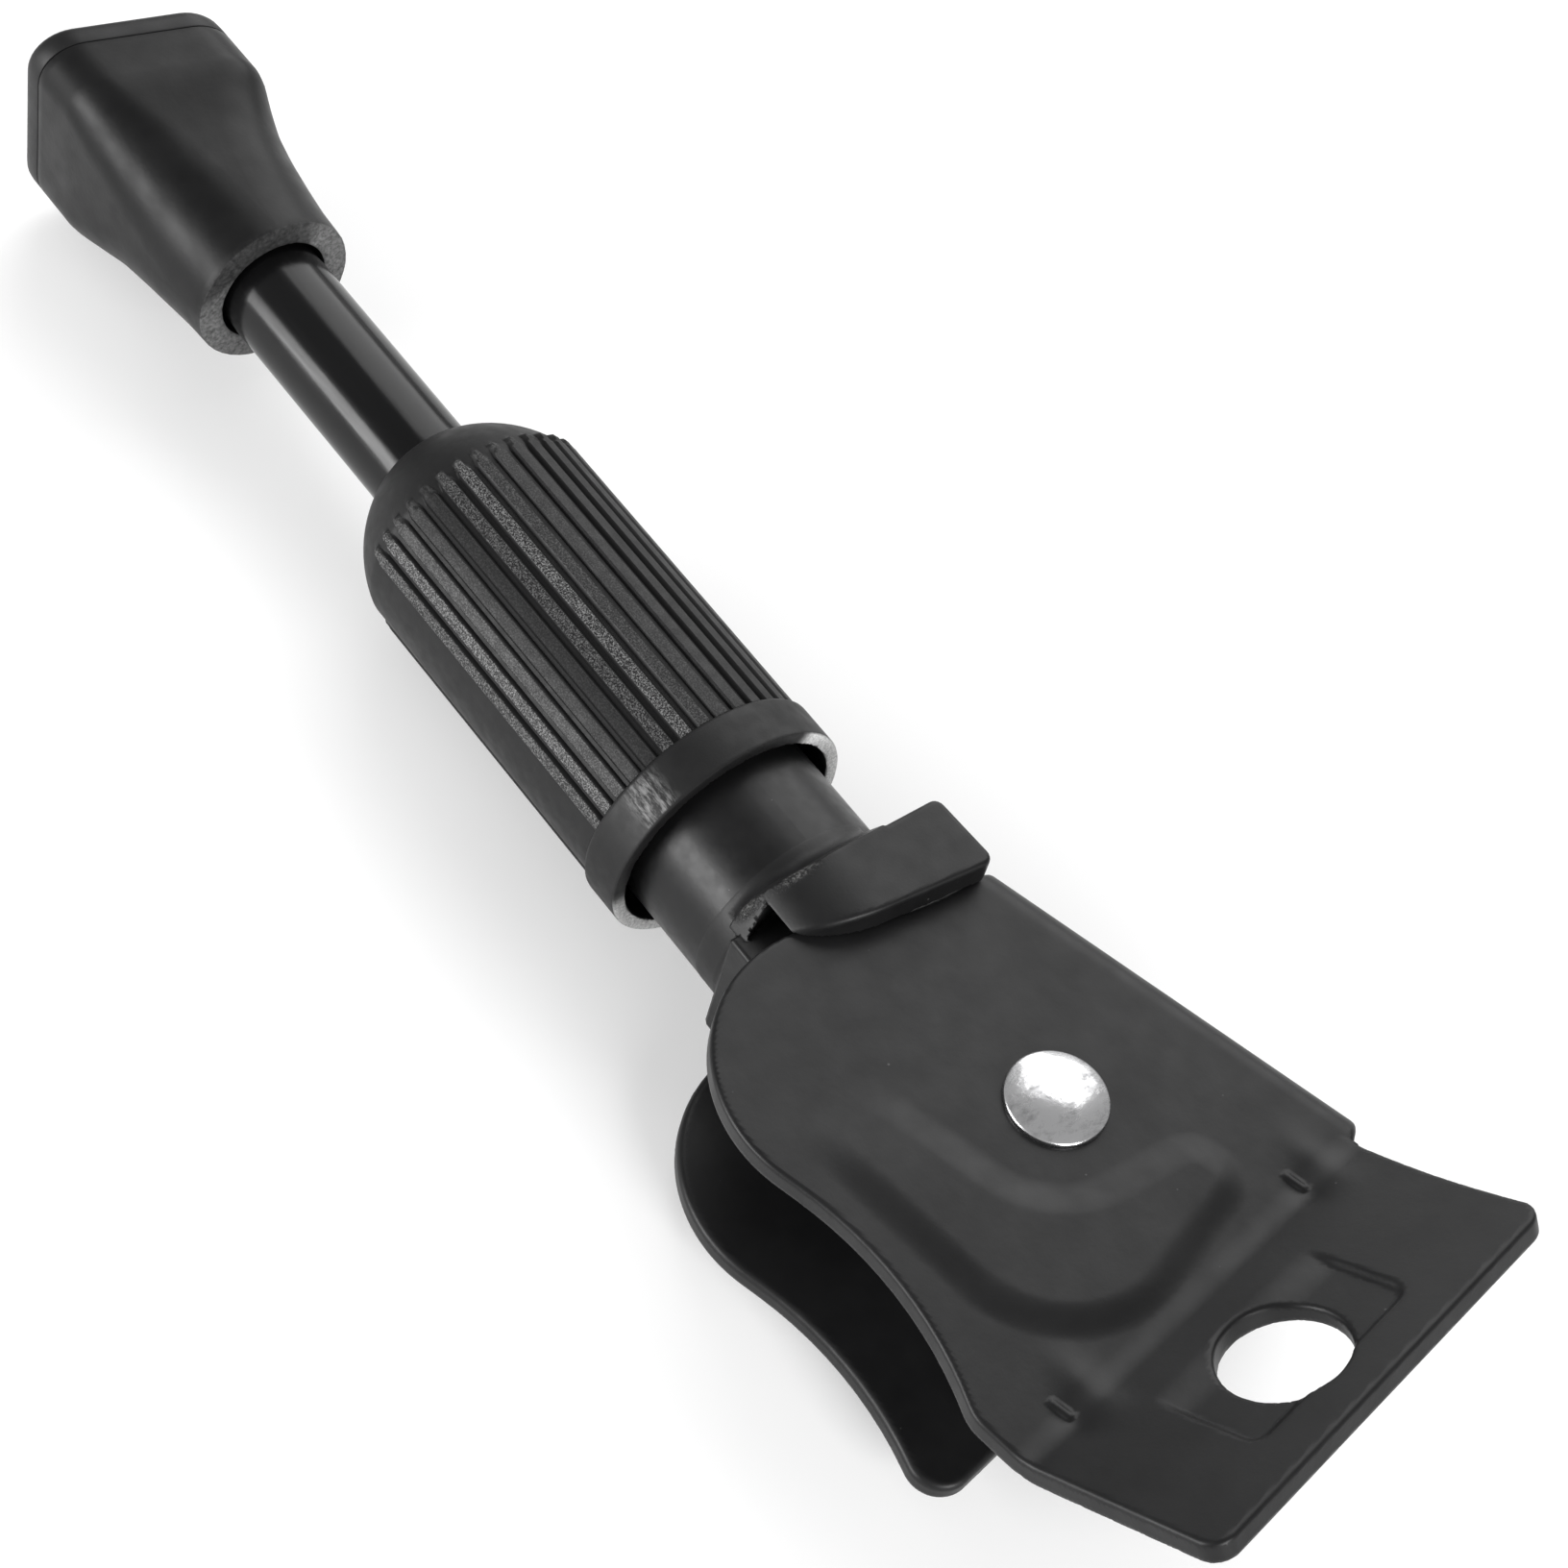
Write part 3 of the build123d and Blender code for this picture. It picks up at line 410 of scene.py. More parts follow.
def moulded_black(name, colour, roughness, grain, depth, dust=0.35):
    """Black moulded plastic or rubber with a fine grain, a little dust and cloudy gloss."""
    s = Shade(name, colour, roughness, specular=0.24)
    lighter = tuple(c * 1.7 for c in colour)
    base = s.mix(s.ramp(s.noise(6.0, 3.0), 0.35, 0.7), colour, lighter)
    s.colour(s.mix(s.math("MULTIPLY", s.spots(2.3, 0.35), dust), base, (0.32, 0.32, 0.31)))
    s.roughness(s.ramp(s.noise(2.5, 4.0), 0.3, 0.7, roughness - 0.05, roughness + 0.07))
    s.bump(s.noise(grain, 3.0, 0.6), depth)
    return s.material


def cap_black():
    """Black moulded plastic, dusty, with a pale torn patch on the lip's back edge."""
    s = Shade("cap_plastic", (0.007, 0.007, 0.0072), 0.42, specular=0.24)
    base = s.mix(s.ramp(s.noise(6.0, 3.0), 0.35, 0.7), (0.006, 0.006, 0.0062), (0.010, 0.010, 0.0103))
    dusty = s.mix(s.math("MULTIPLY", s.spots(2.3, 0.35), 0.35), base, (0.32, 0.32, 0.31))
    ragged = s.math("MULTIPLY", s.ramp(s.noise(0.45, 4.0, 0.7), 0.42, 0.62), s.attribute("torn"))
    s.colour(s.mix(s.ramp(ragged, 0.1, 0.9), dusty, (0.22, 0.22, 0.215)))
    s.roughness(s.ramp(s.noise(2.5, 4.0), 0.3, 0.7, 0.37, 0.49))
    s.bump(s.noise(0.3, 3.0, 0.6), 0.010)
    s.bump(ragged, 0.25)
    return s.material


def plain_metal(name, colour, roughness):
    """Machined steel with fine turning marks."""
    s = Shade(name, colour, roughness, metallic=1.0)
    marks = s.noise(0.25, 3.0, 0.6, (1, 0.2, 0.2))
    s.roughness(s.ramp(marks, 0.3, 0.7, roughness - 0.08, roughness + 0.1))
    s.bump(marks, 0.004)
    return s.material


def gloss_black():
    """Polished black paint on the rod."""
    s = Shade("gloss_black", (0.004, 0.004, 0.0042), 0.17, specular=0.24)
    streaks = s.noise(0.5, 4.0, 0.6, (0.06, 1, 1))
    s.roughness(s.ramp(streaks, 0.3, 0.7, 0.13, 0.24))
    s.bump(s.noise(2.2, 2.0), 0.006)
    return s.material


def tube_black():
    """Satin black paint on the tube."""
    s = Shade("tube_black", (0.008, 0.008, 0.0085), 0.36, specular=0.24)
    s.colour(s.mix(s.math("MULTIPLY", s.spots(1.6, 0.3), 0.4), (0.007, 0.007, 0.0073), (0.3, 0.3, 0.3)))
    s.roughness(s.ramp(s.noise(1.4, 4.0), 0.3, 0.7, 0.31, 0.42))
    s.bump(s.noise(0.8, 3.0), 0.008)
    return s.material


def grip_black():
    """Matt black plastic: smooth in the grooves, speckled on some ribs, pale and torn on the cut end only where
    the light reaches it (painted light and shade), with a painted highlight patch on the band.
    """
    s = Shade("grip_black", (0.006, 0.006, 0.006), 0.5, specular=0.24)
    grain = s.noise(0.16, 2.0, 0.7)
    speckle = s.math("MULTIPLY", s.ramp(grain, 0.46, 0.66), s.attribute("worn"))
    base = s.mix(speckle, (0.006, 0.006, 0.0062), (0.20, 0.20, 0.20))
    # painted highlight: a streaky pale patch on the band, set by the band's highlight attribute
    highlight_streaks = s.ramp(s.noise(0.30, 4.0, 0.65, (0.25, 1, 1)), 0.42, 0.62)
    base = s.mix(s.math("MULTIPLY", highlight_streaks, s.attribute("painted_highlight")), base, (0.17, 0.17, 0.17))
    # the cut attribute holds the torn face's pale colour only on its lit sides: painted light, with painted shade
    # in the dark middle
    cut = s.attribute("cut")
    torn = s.mix(s.ramp(s.noise(0.35, 4.0, 0.7), 0.35, 0.7), (0.45, 0.45, 0.45), (0.95, 0.95, 0.94))
    s.colour(s.mix(cut, base, torn))
    s.roughness(s.ramp(s.noise(1.6, 4.0), 0.3, 0.7, 0.46, 0.58))
    s.bump(s.noise(0.3, 3.0, 0.6), 0.012)
    s.bump(s.math("MULTIPLY", s.noise(0.25, 3.0, 0.7), cut), 0.12)
    return s.material


def boot_black():
    """Smooth black rubber with a pale cut end face, painted brighter on its lit side and darker elsewhere as
    painted shade.
    """
    s = Shade("boot_black", (0.005, 0.005, 0.0052), 0.40, specular=0.17)
    base = s.mix(s.ramp(s.noise(7.0, 3.0), 0.35, 0.7), (0.004, 0.004, 0.0042), (0.007, 0.007, 0.0072))
    cut = s.attribute("cut")
    torn = s.mix(s.ramp(s.noise(0.5, 4.0, 0.7), 0.35, 0.7), (0.05, 0.05, 0.05), (0.20, 0.20, 0.20))
    s.colour(s.mix(cut, base, torn))
    s.roughness(s.ramp(s.noise(3.0, 4.0), 0.3, 0.7, 0.36, 0.46))
    s.bump(s.noise(0.5, 3.0), 0.010)
    return s.material


def scuffed_chrome():
    """Bright plating with wipe marks and small scuffs."""
    s = Shade("scuffed_chrome", (0.90, 0.90, 0.91), 0.24, metallic=1.0)
    scuff = s.ramp(s.noise(1.8, 6.0, 0.7, (1, 0.5, 1)), 0.50, 0.68)
    s.colour(s.mix(scuff, (0.80, 0.80, 0.81), (0.26, 0.26, 0.265)))
    s.roughness(s.ramp(scuff, 0, 1, 0.22, 0.42))
    s.bump(s.noise(1.6, 3.0, 0.5), 0.05)
    s.bump(s.noise(0.25, 4.0, 0.7), 0.006)
    return s.material


MATERIALS = {
    "bracket_coat": powder_coat(),
    "rivet_chrome": scuffed_chrome(),
    "plain_steel": plain_metal("plain_steel", (0.55, 0.55, 0.56), 0.35),
    "bush_bronze": plain_metal("bush_bronze", (0.60, 0.44, 0.24), 0.40),
    "nylon": moulded_black("nylon", (0.60, 0.59, 0.55), 0.45, 0.5, 0.01, 0.0),
    "cap_plastic": cap_black(),
    "tube_paint": tube_black(),
    "grip_plastic": grip_black(),
    "seal_rubber": moulded_black("seal_rubber", (0.012, 0.012, 0.012), 0.6, 0.3, 0.01),
    "rod_black": gloss_black(),
    "core_plastic": moulded_black("core_plastic", (0.03, 0.03, 0.03), 0.5, 0.4, 0.01),
    "boot_rubber": boot_black(),
    "sole_rubber": moulded_black("sole_rubber", (0.007, 0.007, 0.0073), 0.45, 0.4, 0.012),
}
slots = {p["node"]: p["material_slot"] for p in frame["record"]["subparts"]}
for node, shown in frame["nodes"].items():
    shown.data.materials.clear()
    shown.data.materials.append(MATERIALS[slots[node]])


# ---- bracket: pressed sheet, built as a field in its own axes and turned into place
TOP_CORNER = (-19.0, 19.0)
LOBE = (-14.9, -7.8)
LOBE_RADIUS = 15.7
LOBE_START = 150.5
LOBE_SWEEP = 119.5
WAIST_RADIUS = 40.0
FRONT_WAIST = 36
REAR_WAIST = 31
WAIST = (LOBE[0] + 1.9, LOBE[1] - LOBE_RADIUS - WAIST_RADIUS)
TONGUE_LENGTH = 21.1
TONGUE_WEB_SIDE = 15.4
TONGUE_OPEN_SIDE = -33.0
TONGUE_CORNER = 2.4
WEB_FACE = 19.0
WEB_END = 22.4
WEB_TOP = WEB_FACE + 3
REAR_SETBACK = -5.0
skew = math.radians(BEND_SKEW)


def unrolled(t, v):
    """Cheek coordinates seen from the bend line: distance past it, and distance along it."""
    u = (t - BEND_PLACE) * math.cos(skew) - v * math.sin(skew)
    b = (t - BEND_PLACE) * math.sin(skew) + v * math.cos(skew)
    return u, b


def on_cheek(u, b):
    """The inverse of unrolled()."""
    t = BEND_PLACE + b * math.sin(skew) + u * math.cos(skew)
    return t, b * math.cos(skew) - u * math.sin(skew)


def cheek_side(waist_turn):
    """From the web's top corner round the lobe and down the waist."""
    lobe = arc(LOBE, LOBE_RADIUS, LOBE_START, LOBE_SWEEP)
    return arc_through(TOP_CORNER, (-22.4, 8.2), lobe[0]) + lobe + arc(WAIST, WAIST_RADIUS, 90, -waist_turn)


def front_outline():
    """Front cheek with the tongue laid flat, in unrolled coordinates."""
    side = cheek_side(FRONT_WAIST)
    end = side[-1]
    across = unrolled(*end)[1]
    turn = FRONT_WAIST - BEND_SKEW
    radius = (across - TONGUE_OPEN_SIDE) / (1 - math.cos(math.radians(turn)))
    facing = math.radians(90 - FRONT_WAIST)
    center = (end[0] + radius * math.cos(facing), end[1] + radius * math.sin(facing))
    shoulder = arc(center, radius, 270 - FRONT_WAIST, turn)
    tip_open, tip_web = (TONGUE_LENGTH, TONGUE_OPEN_SIDE), (TONGUE_LENGTH, TONGUE_WEB_SIDE)
    points = [unrolled(*p) for p in side + shoulder]
    points += corner((0, TONGUE_OPEN_SIDE), tip_open, tip_web, TONGUE_CORNER)
    points += corner(tip_open, tip_web, (0, TONGUE_WEB_SIDE), TONGUE_CORNER)
    points += corner((10, TONGUE_WEB_SIDE), (0.4, TONGUE_WEB_SIDE), unrolled(WEB_END, WEB_FACE), 1.6)
    points += [unrolled(WEB_END, WEB_TOP), unrolled(TOP_CORNER[0], WEB_TOP)]
    return Outline(points)


def rear_outline():
    """Rear cheek in cheek coordinates; it stops short of the bend."""
    side = cheek_side(REAR_WAIST)
    end = side[-1]
    slope = math.radians(-REAR_WAIST)
    setback = on_cheek(REAR_SETBACK, -60)
    line = (Vector(on_cheek(REAR_SETBACK, 60)) - Vector(setback)).normalized()
    run = Vector((math.cos(slope), math.sin(slope)))
    gap = Vector(setback) - Vector(end)
    reach = (gap.x * line.y - gap.y * line.x) / (run.x * line.y - run.y * line.x)
    meet = Vector(end) + run * reach
    points = side + corner(end, tuple(meet), on_cheek(REAR_SETBACK, 0), 3.4)
    step = on_cheek(REAR_SETBACK, TONGUE_WEB_SIDE)
    points += [step, (WEB_END, step[1]), (WEB_END, WEB_TOP), (TOP_CORNER[0], WEB_TOP)]
    return Outline(points)


def bead_outline():
    """Edge of the raised bead, in cheek coordinates: broad below the rivet, turning up towards the web."""
    inner = [(-17.0, -11.0)] + corner((-17.0, -11.0), (6.5, -10.8), (12.2, 4.8), 10.0)
    end = corner((6.5, -10.8), (12.2, 4.8), (17.8, 4.8), 2.6) + corner((12.2, 4.8), (17.8, 4.8), (17.8, -20), 2.6)
    outer = corner((17.8, 4.8), (17.8, -23.2), (-17.0, -18.2), 12.0)
    return Outline(inner + end + outer + [(-17.0, -18.2)])


FRONT, REAR, BEAD = front_outline(), rear_outline(), bead_outline()
BEND_START = -BEND_RADIUS * math.tan(BEND_ANGLE / 2)


def unbend(u, z):
    """(distance along the front sheet, height above its front face) with the tongue laid flat."""
    du, dz = u - BEND_START, BEND_RADIUS - z
    turn = np.arctan2(du, dz)
    turn = np.where((dz < 0) & (du < 0), -1.0, np.where(dz < 0, 2.0, turn))
    rho = np.hypot(du, dz)
    cos, sin = math.cos(BEND_ANGLE), math.sin(BEND_ANGLE)
    past = du * cos - dz * sin
    on_tongue = turn > BEND_ANGLE
    bent = np.where(on_tongue, BEND_START + BEND_RADIUS * BEND_ANGLE + past, BEND_START + BEND_RADIUS * turn)
    raised = np.where(on_tongue, BEND_RADIUS - (du * sin + dz * cos), BEND_RADIUS - rho)
    s = np.where(turn < 0, u, bent)
    h = np.where(turn < 0, z, raised)
    return s, h


# hole, shallow recess round it (from and to, along then across) and darts: places on the flat tongue
HOLE = (11.1, -10.7)
HOLE_RADIUS = 6.1
RECESS = (4.2, 16.3, -21.2, 0.8)
RECESS_DEPTH = 0.5
DARTS = (7.7, -26.6)
BEAD_HEIGHT = 0.68
FRONT_EDGE = 15.5
CHANNEL_BACK = 10
CHANNEL_OUTER_CORNER = 3.6
CHANNEL_INNER_CORNER = 1.1
RIVET_HOLE = 3.05


def bracket_field(t, v, z):
    """The whole bracket; z is from the middle of the channel."""
    u, b = unrolled(t, v)
    s, h = unbend(u, z - CHEEK)
    flat_t, flat_v = on_cheek(s, b)

    # pressed forms move both faces of the sheet
    form = BEAD_HEIGHT * (1 - smooth_step(BEAD(flat_t, flat_v), -2.1, 1.8)) * smooth_step(flat_t, -17.0, -6.0)
    for place in DARTS:
        form = form + 0.35 * np.exp(-(((s + 1.0) / 3.4) ** 2) - ((b - place - 3.4) / 1.7) ** 2)
        form = form - 0.30 * np.exp(-(((s - 0.4) / 2.0) ** 2) - ((b - place + 0.2) / 1.5) ** 2)
    middle_s, middle_b = (RECESS[0] + RECESS[1]) / 2, (RECESS[2] + RECESS[3]) / 2
    half_s, half_b = (RECESS[1] - RECESS[0]) / 2, (RECESS[3] - RECESS[2]) / 2
    in_recess = rounded_box(s - middle_s, b - middle_b, half_s, half_b, 1.6)
    sunk = RECESS_DEPTH * (1 - smooth_step(in_recess, -0.5, 0.5)) * smooth_step(s, 4.6, 9.0)
    face = h - form
    slab = np.maximum(face + sunk, -face - SHEET)
    bow = 0.55 * np.sin(np.clip(s / TONGUE_LENGTH, 0, 1) * math.pi)
    edge = np.maximum(FRONT(s, b), np.where(s < 0.4, v - FRONT_EDGE, b - FRONT_EDGE + bow))
    front = round_cut(slab, edge, 0.5)
    hole = np.hypot(s - HOLE[0], b - HOLE[1]) - HOLE_RADIUS
    front = round_cut(front, -hole, 0.45)

    # channel: web, its two bends and the rear cheek
    across = np.maximum(v + CHANNEL_BACK, 0)
    outside = rounded_box(across, z, WEB_FACE + CHANNEL_BACK, CHEEK, CHANNEL_OUTER_CORNER)
    inside = rounded_box(across, z, WEB_FACE - SHEET + CHANNEL_BACK, CHEEK - SHEET, CHANNEL_INNER_CORNER)
    wall = np.maximum(outside, -inside)
    web_part = np.maximum(round_cut(wall, FRONT(u, b), 0.6), np.maximum(12.5 - v, -z - 6))
    rear_part = np.maximum(round_cut(wall, REAR(t, v), 0.7), z + 5.9)
    body = np.minimum(np.minimum(front, web_part), rear_part)

    # darts: small sharp creases across the bend
    for place in DARTS:
        foot = (*on_cheek(-2.0, place - 0.1), CHEEK - 0.30)
        head = (*on_cheek(-0.1, place + 0.1), CHEEK - 0.22)
        body = round_join(body, capsule(t, v, z, foot, head, 0.48), 0.25)
    pivot = np.hypot(t, v) - RIVET_HOLE
    return np.maximum(body, -pivot)


def bracket_axes():
    """Directions of t and v in the row frame."""
    turn = math.radians(180 + BRACKET_TURN)
    return (math.cos(turn), math.sin(turn)), (-math.sin(turn), math.cos(turn))


def bracket_place(points):
    """Bracket points in the row frame."""
    (tx, ty), (vx, vy) = bracket_axes()
    t, v, z = points.T
    return np.stack([RIVET_X + t * tx + v * vx, RIVET_Y + t * ty + v * vy, MID_Z + z], 1)


def make_bracket():
    """Mesh of the bracket's field, with its own normals so that the flat faces stay flat."""
    step = 0.4
    points, faces, normals = surface_of(bracket_field, (-33.07, -41.11, -12.03), (45, 21, 25), step)
    (tx, ty), (vx, vy) = bracket_axes()
    nt, nv, nz = normals.T
    turned = np.stack([nt * tx + nv * vx, nt * ty + nv * vy, nz], 1)
    new_piece(
        "bracket_shell", bracket_place(points), faces, "bracket_body", ["bracket"],
        MATERIALS["bracket_coat"], turned,
    )


make_bracket()


# ---- pivot cap: tongue between the cheeks, ring on the tube's end and a lip outside each cheek
RING_START = 31.3
CORE_HALF = 7.6
RING_RADIUS = 11.04
SPIGOT_RADIUS = 9.4
LIP_SIDES = ((1, 14.0, 0.5), (-1, 12.0, 0.3))
LIP_UNDERSIDE = 7.0
LIP_WIDE = 12.6
LIP_END = math.radians(57)
SWING_RADIUS = 32.75
ROD_BORE = 6.6
PIVOT_BORE = 6.4


def lip_outline():
    """Lip seen from the front: curved beside the cheeks, straight where it joins the ring."""
    root = (RING_START, -LIP_WIDE)
    low = arc_through((30.3, 10.9), (24.9, 4.5), (23.6, -0.5)) + [(23.1, -6.0)]
    points = corner((23.1, -6.0), (22.5, -13.0), root, 1.2) + corner((22.5, -13.0), root, (RING_START, 0), 1.0)
    return Outline(points + [(RING_START, LIP_WIDE), (31.0, LIP_WIDE)] + low)


LIP = lip_outline()


def cap_field(x, y, z):
    """Pivot cap in the leg's axes: x from the rivet, y and z from the leg's axis."""
    radius = np.hypot(y, z)
    core = np.maximum(rounded_box(x - 24.5, y + 0.3, 35.5, 11.8, 9.0), x - RING_START)
    body = round_cut(core, np.abs(z) - CORE_HALF, 0.5)
    neck = np.maximum(np.maximum(radius - TUBE_RADIUS, np.abs(z) - CORE_HALF), np.abs(x - 32) - 1.7)
    collar = np.maximum(radius - RING_RADIUS + 0.25 * smooth_step(x, 34.7, 36.2), np.abs(x - 34.2) - 2.2)
    lips = np.full(np.broadcast_shapes(x.shape, y.shape, z.shape), 50.0)
    for side, reach, rounding in LIP_SIDES:
        h = side * z
        around = np.degrees(np.arctan2(y, h))
        top = np.hypot(np.maximum(y, 0), h) - reach + 0.4 * (reach - TUBE_RADIUS) * smooth_step(around, 22, 57)
        plate = round_cut(round_cut(LIP(x, y), top, rounding), LIP_UNDERSIDE - h, 0.3)
        root = np.maximum(np.maximum(-6 - y, y - LIP_WIDE), np.maximum(LIP_UNDERSIDE - h, np.abs(x - 32.2) - 1.8))
        start = RING_START + 1.3 * smooth_step(around, 10, 48)
        root = np.maximum(root, np.maximum(top, (top + 1.9 * (x - start)) / 2.15))
        end = y * math.cos(LIP_END) - h * math.sin(LIP_END)
        lips = np.minimum(lips, round_cut(np.minimum(plate, root), end, 0.5))

    # the lips keep clear of the cheeks as the leg folds
    from_pivot = np.hypot(x, y + PIVOT_OFFSET)
    swing = np.maximum(from_pivot - SWING_RADIUS, np.abs(np.abs(z) - 9.3) - 1.7)
    shell = np.maximum(round_join(collar, lips, 0.9), -swing)
    body = np.minimum(np.minimum(body, neck), shell)
    body = np.minimum(body, np.maximum(radius - SPIGOT_RADIUS, np.abs(x - 43) - 9))
    bore = np.maximum(radius - ROD_BORE, 36.4 - x)
    dowels = np.hypot(x - 48.2, y) - 1.5
    return np.maximum(np.maximum(body, -bore), np.maximum(-dowels, PIVOT_BORE - from_pivot))


def make_cap():
    """Mesh of the cap's field, with the places where its front lip is torn."""
    step = 0.35
    points, faces, normals = surface_of(cap_field, (-12.3, -13.3, -13.1), (53, 12.7, 15.1), step)
    place = points + np.array([RIVET_X, LEG_Y, MID_Z])
    x, y, z = points.T
    torn = 0.9 * np.exp(-((x - 31.4) / 0.5) ** 2 - ((y - 4.2) / 1.6) ** 2)
    torn = torn + 0.6 * np.exp(-((x - 32.4) / 0.7) ** 2 - ((y - 8.8) / 0.9) ** 2)
    new_piece(
        "cap_shell", place, faces, "leg", ["pivot_cap"], MATERIALS["cap_plastic"], normals,
        {"torn": torn * (z > 6)},
    )


make_cap()


# ---- turned and ribbed pieces
RIB_COUNT = 14
RIB_PITCH = 9.3
RIB_SIDES = (-12.0, 168.0)
RIB_END = 89.9
RIB_TAPER_START = 87.9
RIB_SIDE = 0.25
RIB_OFFSETS = (-1.02, -0.90, -0.82, -0.68, -0.58, -0.3, 0, 0.3, 0.58, 0.68, 0.82, 0.90, 1.02)
DOME = ((89.1, BARREL_RADIUS), (94.6, 10.3), (97.7, 6.9))
MOUTH = (
    (97.75, 6.78), (97.75, 6.42), (97.65, 6.30), (95.5, 6.3), (95.5, 7.2), (94.0, 7.2), (94.0, 6.3), (92.0, 6.3),
)
SEAT = (84.0, 92.0)
GRIP_BORE = 11.06
GRIP_BORE_ROWS = (
    (SEAT[0], GRIP_BORE), (67.3, GRIP_BORE), (67.3, 12.0), (66.0, 12.0), (66.0, GRIP_BORE), (54.1, GRIP_BORE),
    (52.8, 12.4), (46.0, 12.4),
)
WORN = (0.75, 1.0, 0.40, 0.22, 0.10, 0.55, 1.0, 0.32, 0.22, 0.12, 0.06, 0.05, 0.05, 0.05)


def grip_columns():
    """Angles round the grip, each with its distance from the nearest rib's middle and that rib's wear."""
    rng = np.random.default_rng(7)
    angles, offsets, worn = [], [], []
    for side in RIB_SIDES:
        wear = WORN if side < 90 else tuple(rng.uniform(0.05, 0.8, RIB_COUNT) ** 1.5)
        for k in range(RIB_COUNT):
            middle = side + RIB_PITCH * (k - (RIB_COUNT - 1) / 2)
            for mm in RIB_OFFSETS:
                angles.append(middle + math.degrees(mm / RIB_RADIUS))
                offsets.append(mm)
                worn.append(wear[k] if abs(mm) < 0.7 else 0.0)
        plain = side + RIB_PITCH * RIB_COUNT / 2
        for a in np.linspace(plain + 2, plain + 180 - RIB_PITCH * RIB_COUNT - 2, 14):
            angles.append(a)
            offsets.append(9.0)
            worn.append(0.0)
    return np.radians(angles), np.array(offsets), np.array(worn)


def dome_radius(x):
    """Radius of the grip's dome, from the arc through its start, middle and end."""
    outline = np.array(arc_through(*DOME))
    return np.interp(x, outline[:, 0], outline[:, 1])


def make_grip():
    """Grip from its torn end, over the ribs and the dome, and back along its bore."""
    angles, offsets, worn = grip_columns()
    rng = np.random.default_rng(3)
    jag = np.convolve(rng.normal(0, 1, len(angles) + 8), np.ones(3) / 3, "same")[4:-4]
    rows, cut, wear = [], [], []

    def row(x, radius, is_cut=0.0, wear_and_highlight=0.0):
        rows.append((np.broadcast_to(x, angles.shape), np.broadcast_to(radius, angles.shape)))
        cut.append(np.broadcast_to(is_cut, angles.shape))
        wear.append(np.broadcast_to(wear_and_highlight, angles.shape))

    # torn end face: its pale torn colour is painted only where the light reaches it, and left dark elsewhere as
    # painted shade
    degrees = (np.degrees(angles) + 180) % 360 - 180
    lit = smooth_step(np.abs(degrees + 33), 62, 74)
    row(44.95, 12.40)
    row(44.82 + 0.03 * np.abs(jag), 12.44 + 0.16 * np.abs(jag), lit)
    row(44.80, 12.62 + 0.10 * np.abs(jag), lit)
    row(44.80, 13.20, lit)
    row(44.80, 13.74 - 0.03 * np.abs(jag), lit)
    row(44.84 + 0.03 * np.abs(jag), 13.83, 0.5 * lit)
    row(44.98 + 0.04 * np.abs(jag), 13.90)
    # painted highlight: a pale patch round one angle of the band's skirt, passed on as negative wear values
    painted_band_highlight = (1 - smooth_step(np.abs(degrees + 45), 3, 12)) * (0.6 + 0.5 * rng.random(len(angles)))
    for x in (45.2, 46.2, 47.4, 48.6):
        row(x, BAND_RADIUS, 0.0, -painted_band_highlight)
    row(49.45, BAND_RADIUS, 0.0, -0.6 * painted_band_highlight)
    row(49.68, BAND_RADIUS - 0.04)
    row(49.90, BAND_RADIUS - 0.20)
    row(49.97, BARREL_RADIUS + 0.48)

    # ribs: flat tops with sloped sides, pointed at the dome's end
    height = RIB_RADIUS - BARREL_RADIUS
    for x in [50.0, 50.5, 51.5] + list(np.linspace(54, 84, 11)) + list(np.linspace(85.0, 90.0, 21)):
        t = np.clip((x - RIB_TAPER_START) / (RIB_END - RIB_TAPER_START), 0, 1)
        half = 0.64 * (1 - 0.85 * t)
        side = np.clip((half + RIB_SIDE - np.abs(offsets)) / RIB_SIDE, 0, 1)
        end = np.clip((RIB_END - x) / RIB_SIDE, 0, 1)
        speckled = np.where(np.abs(offsets) < half + 0.03, worn, 0.0) * end
        row(x, dome_radius(x) + height * np.minimum(side, end), 0.0, speckled)

    # dome, its mouth round the rod, the seat of the nut and the bore
    dome = [(x, radius) for x, radius in arc_through(*DOME)[1:-1] if x > 90.05]
    for x, radius in dome + list(MOUTH):
        row(x, radius)
    seat = np.where(np.abs(degrees - 90) < 8.5, 11.0, 9.6)
    row(SEAT[1], seat)
    row(SEAT[0], seat)
    for x, radius in GRIP_BORE_ROWS:
        row(x, radius)

    along = np.concatenate([r[0] for r in rows])
    radius = np.concatenate([r[1] for r in rows])
    turn = np.tile(angles, len(rows))
    # positive values are the ribs' real wear, negative ones the band's painted highlight
    wear = np.concatenate(wear)
    faces = grid_faces(len(rows), len(angles), True)
    piece = new_piece(
        "grip_shell", on_leg(along, radius, turn), faces, "grip", ["grip_sleeve"],
        MATERIALS["grip_plastic"],
        attributes={"cut": np.concatenate(cut), "worn": np.maximum(wear, 0), "painted_highlight": np.maximum(-wear, 0)},
    )
    sharpen(piece, 32)


make_grip()


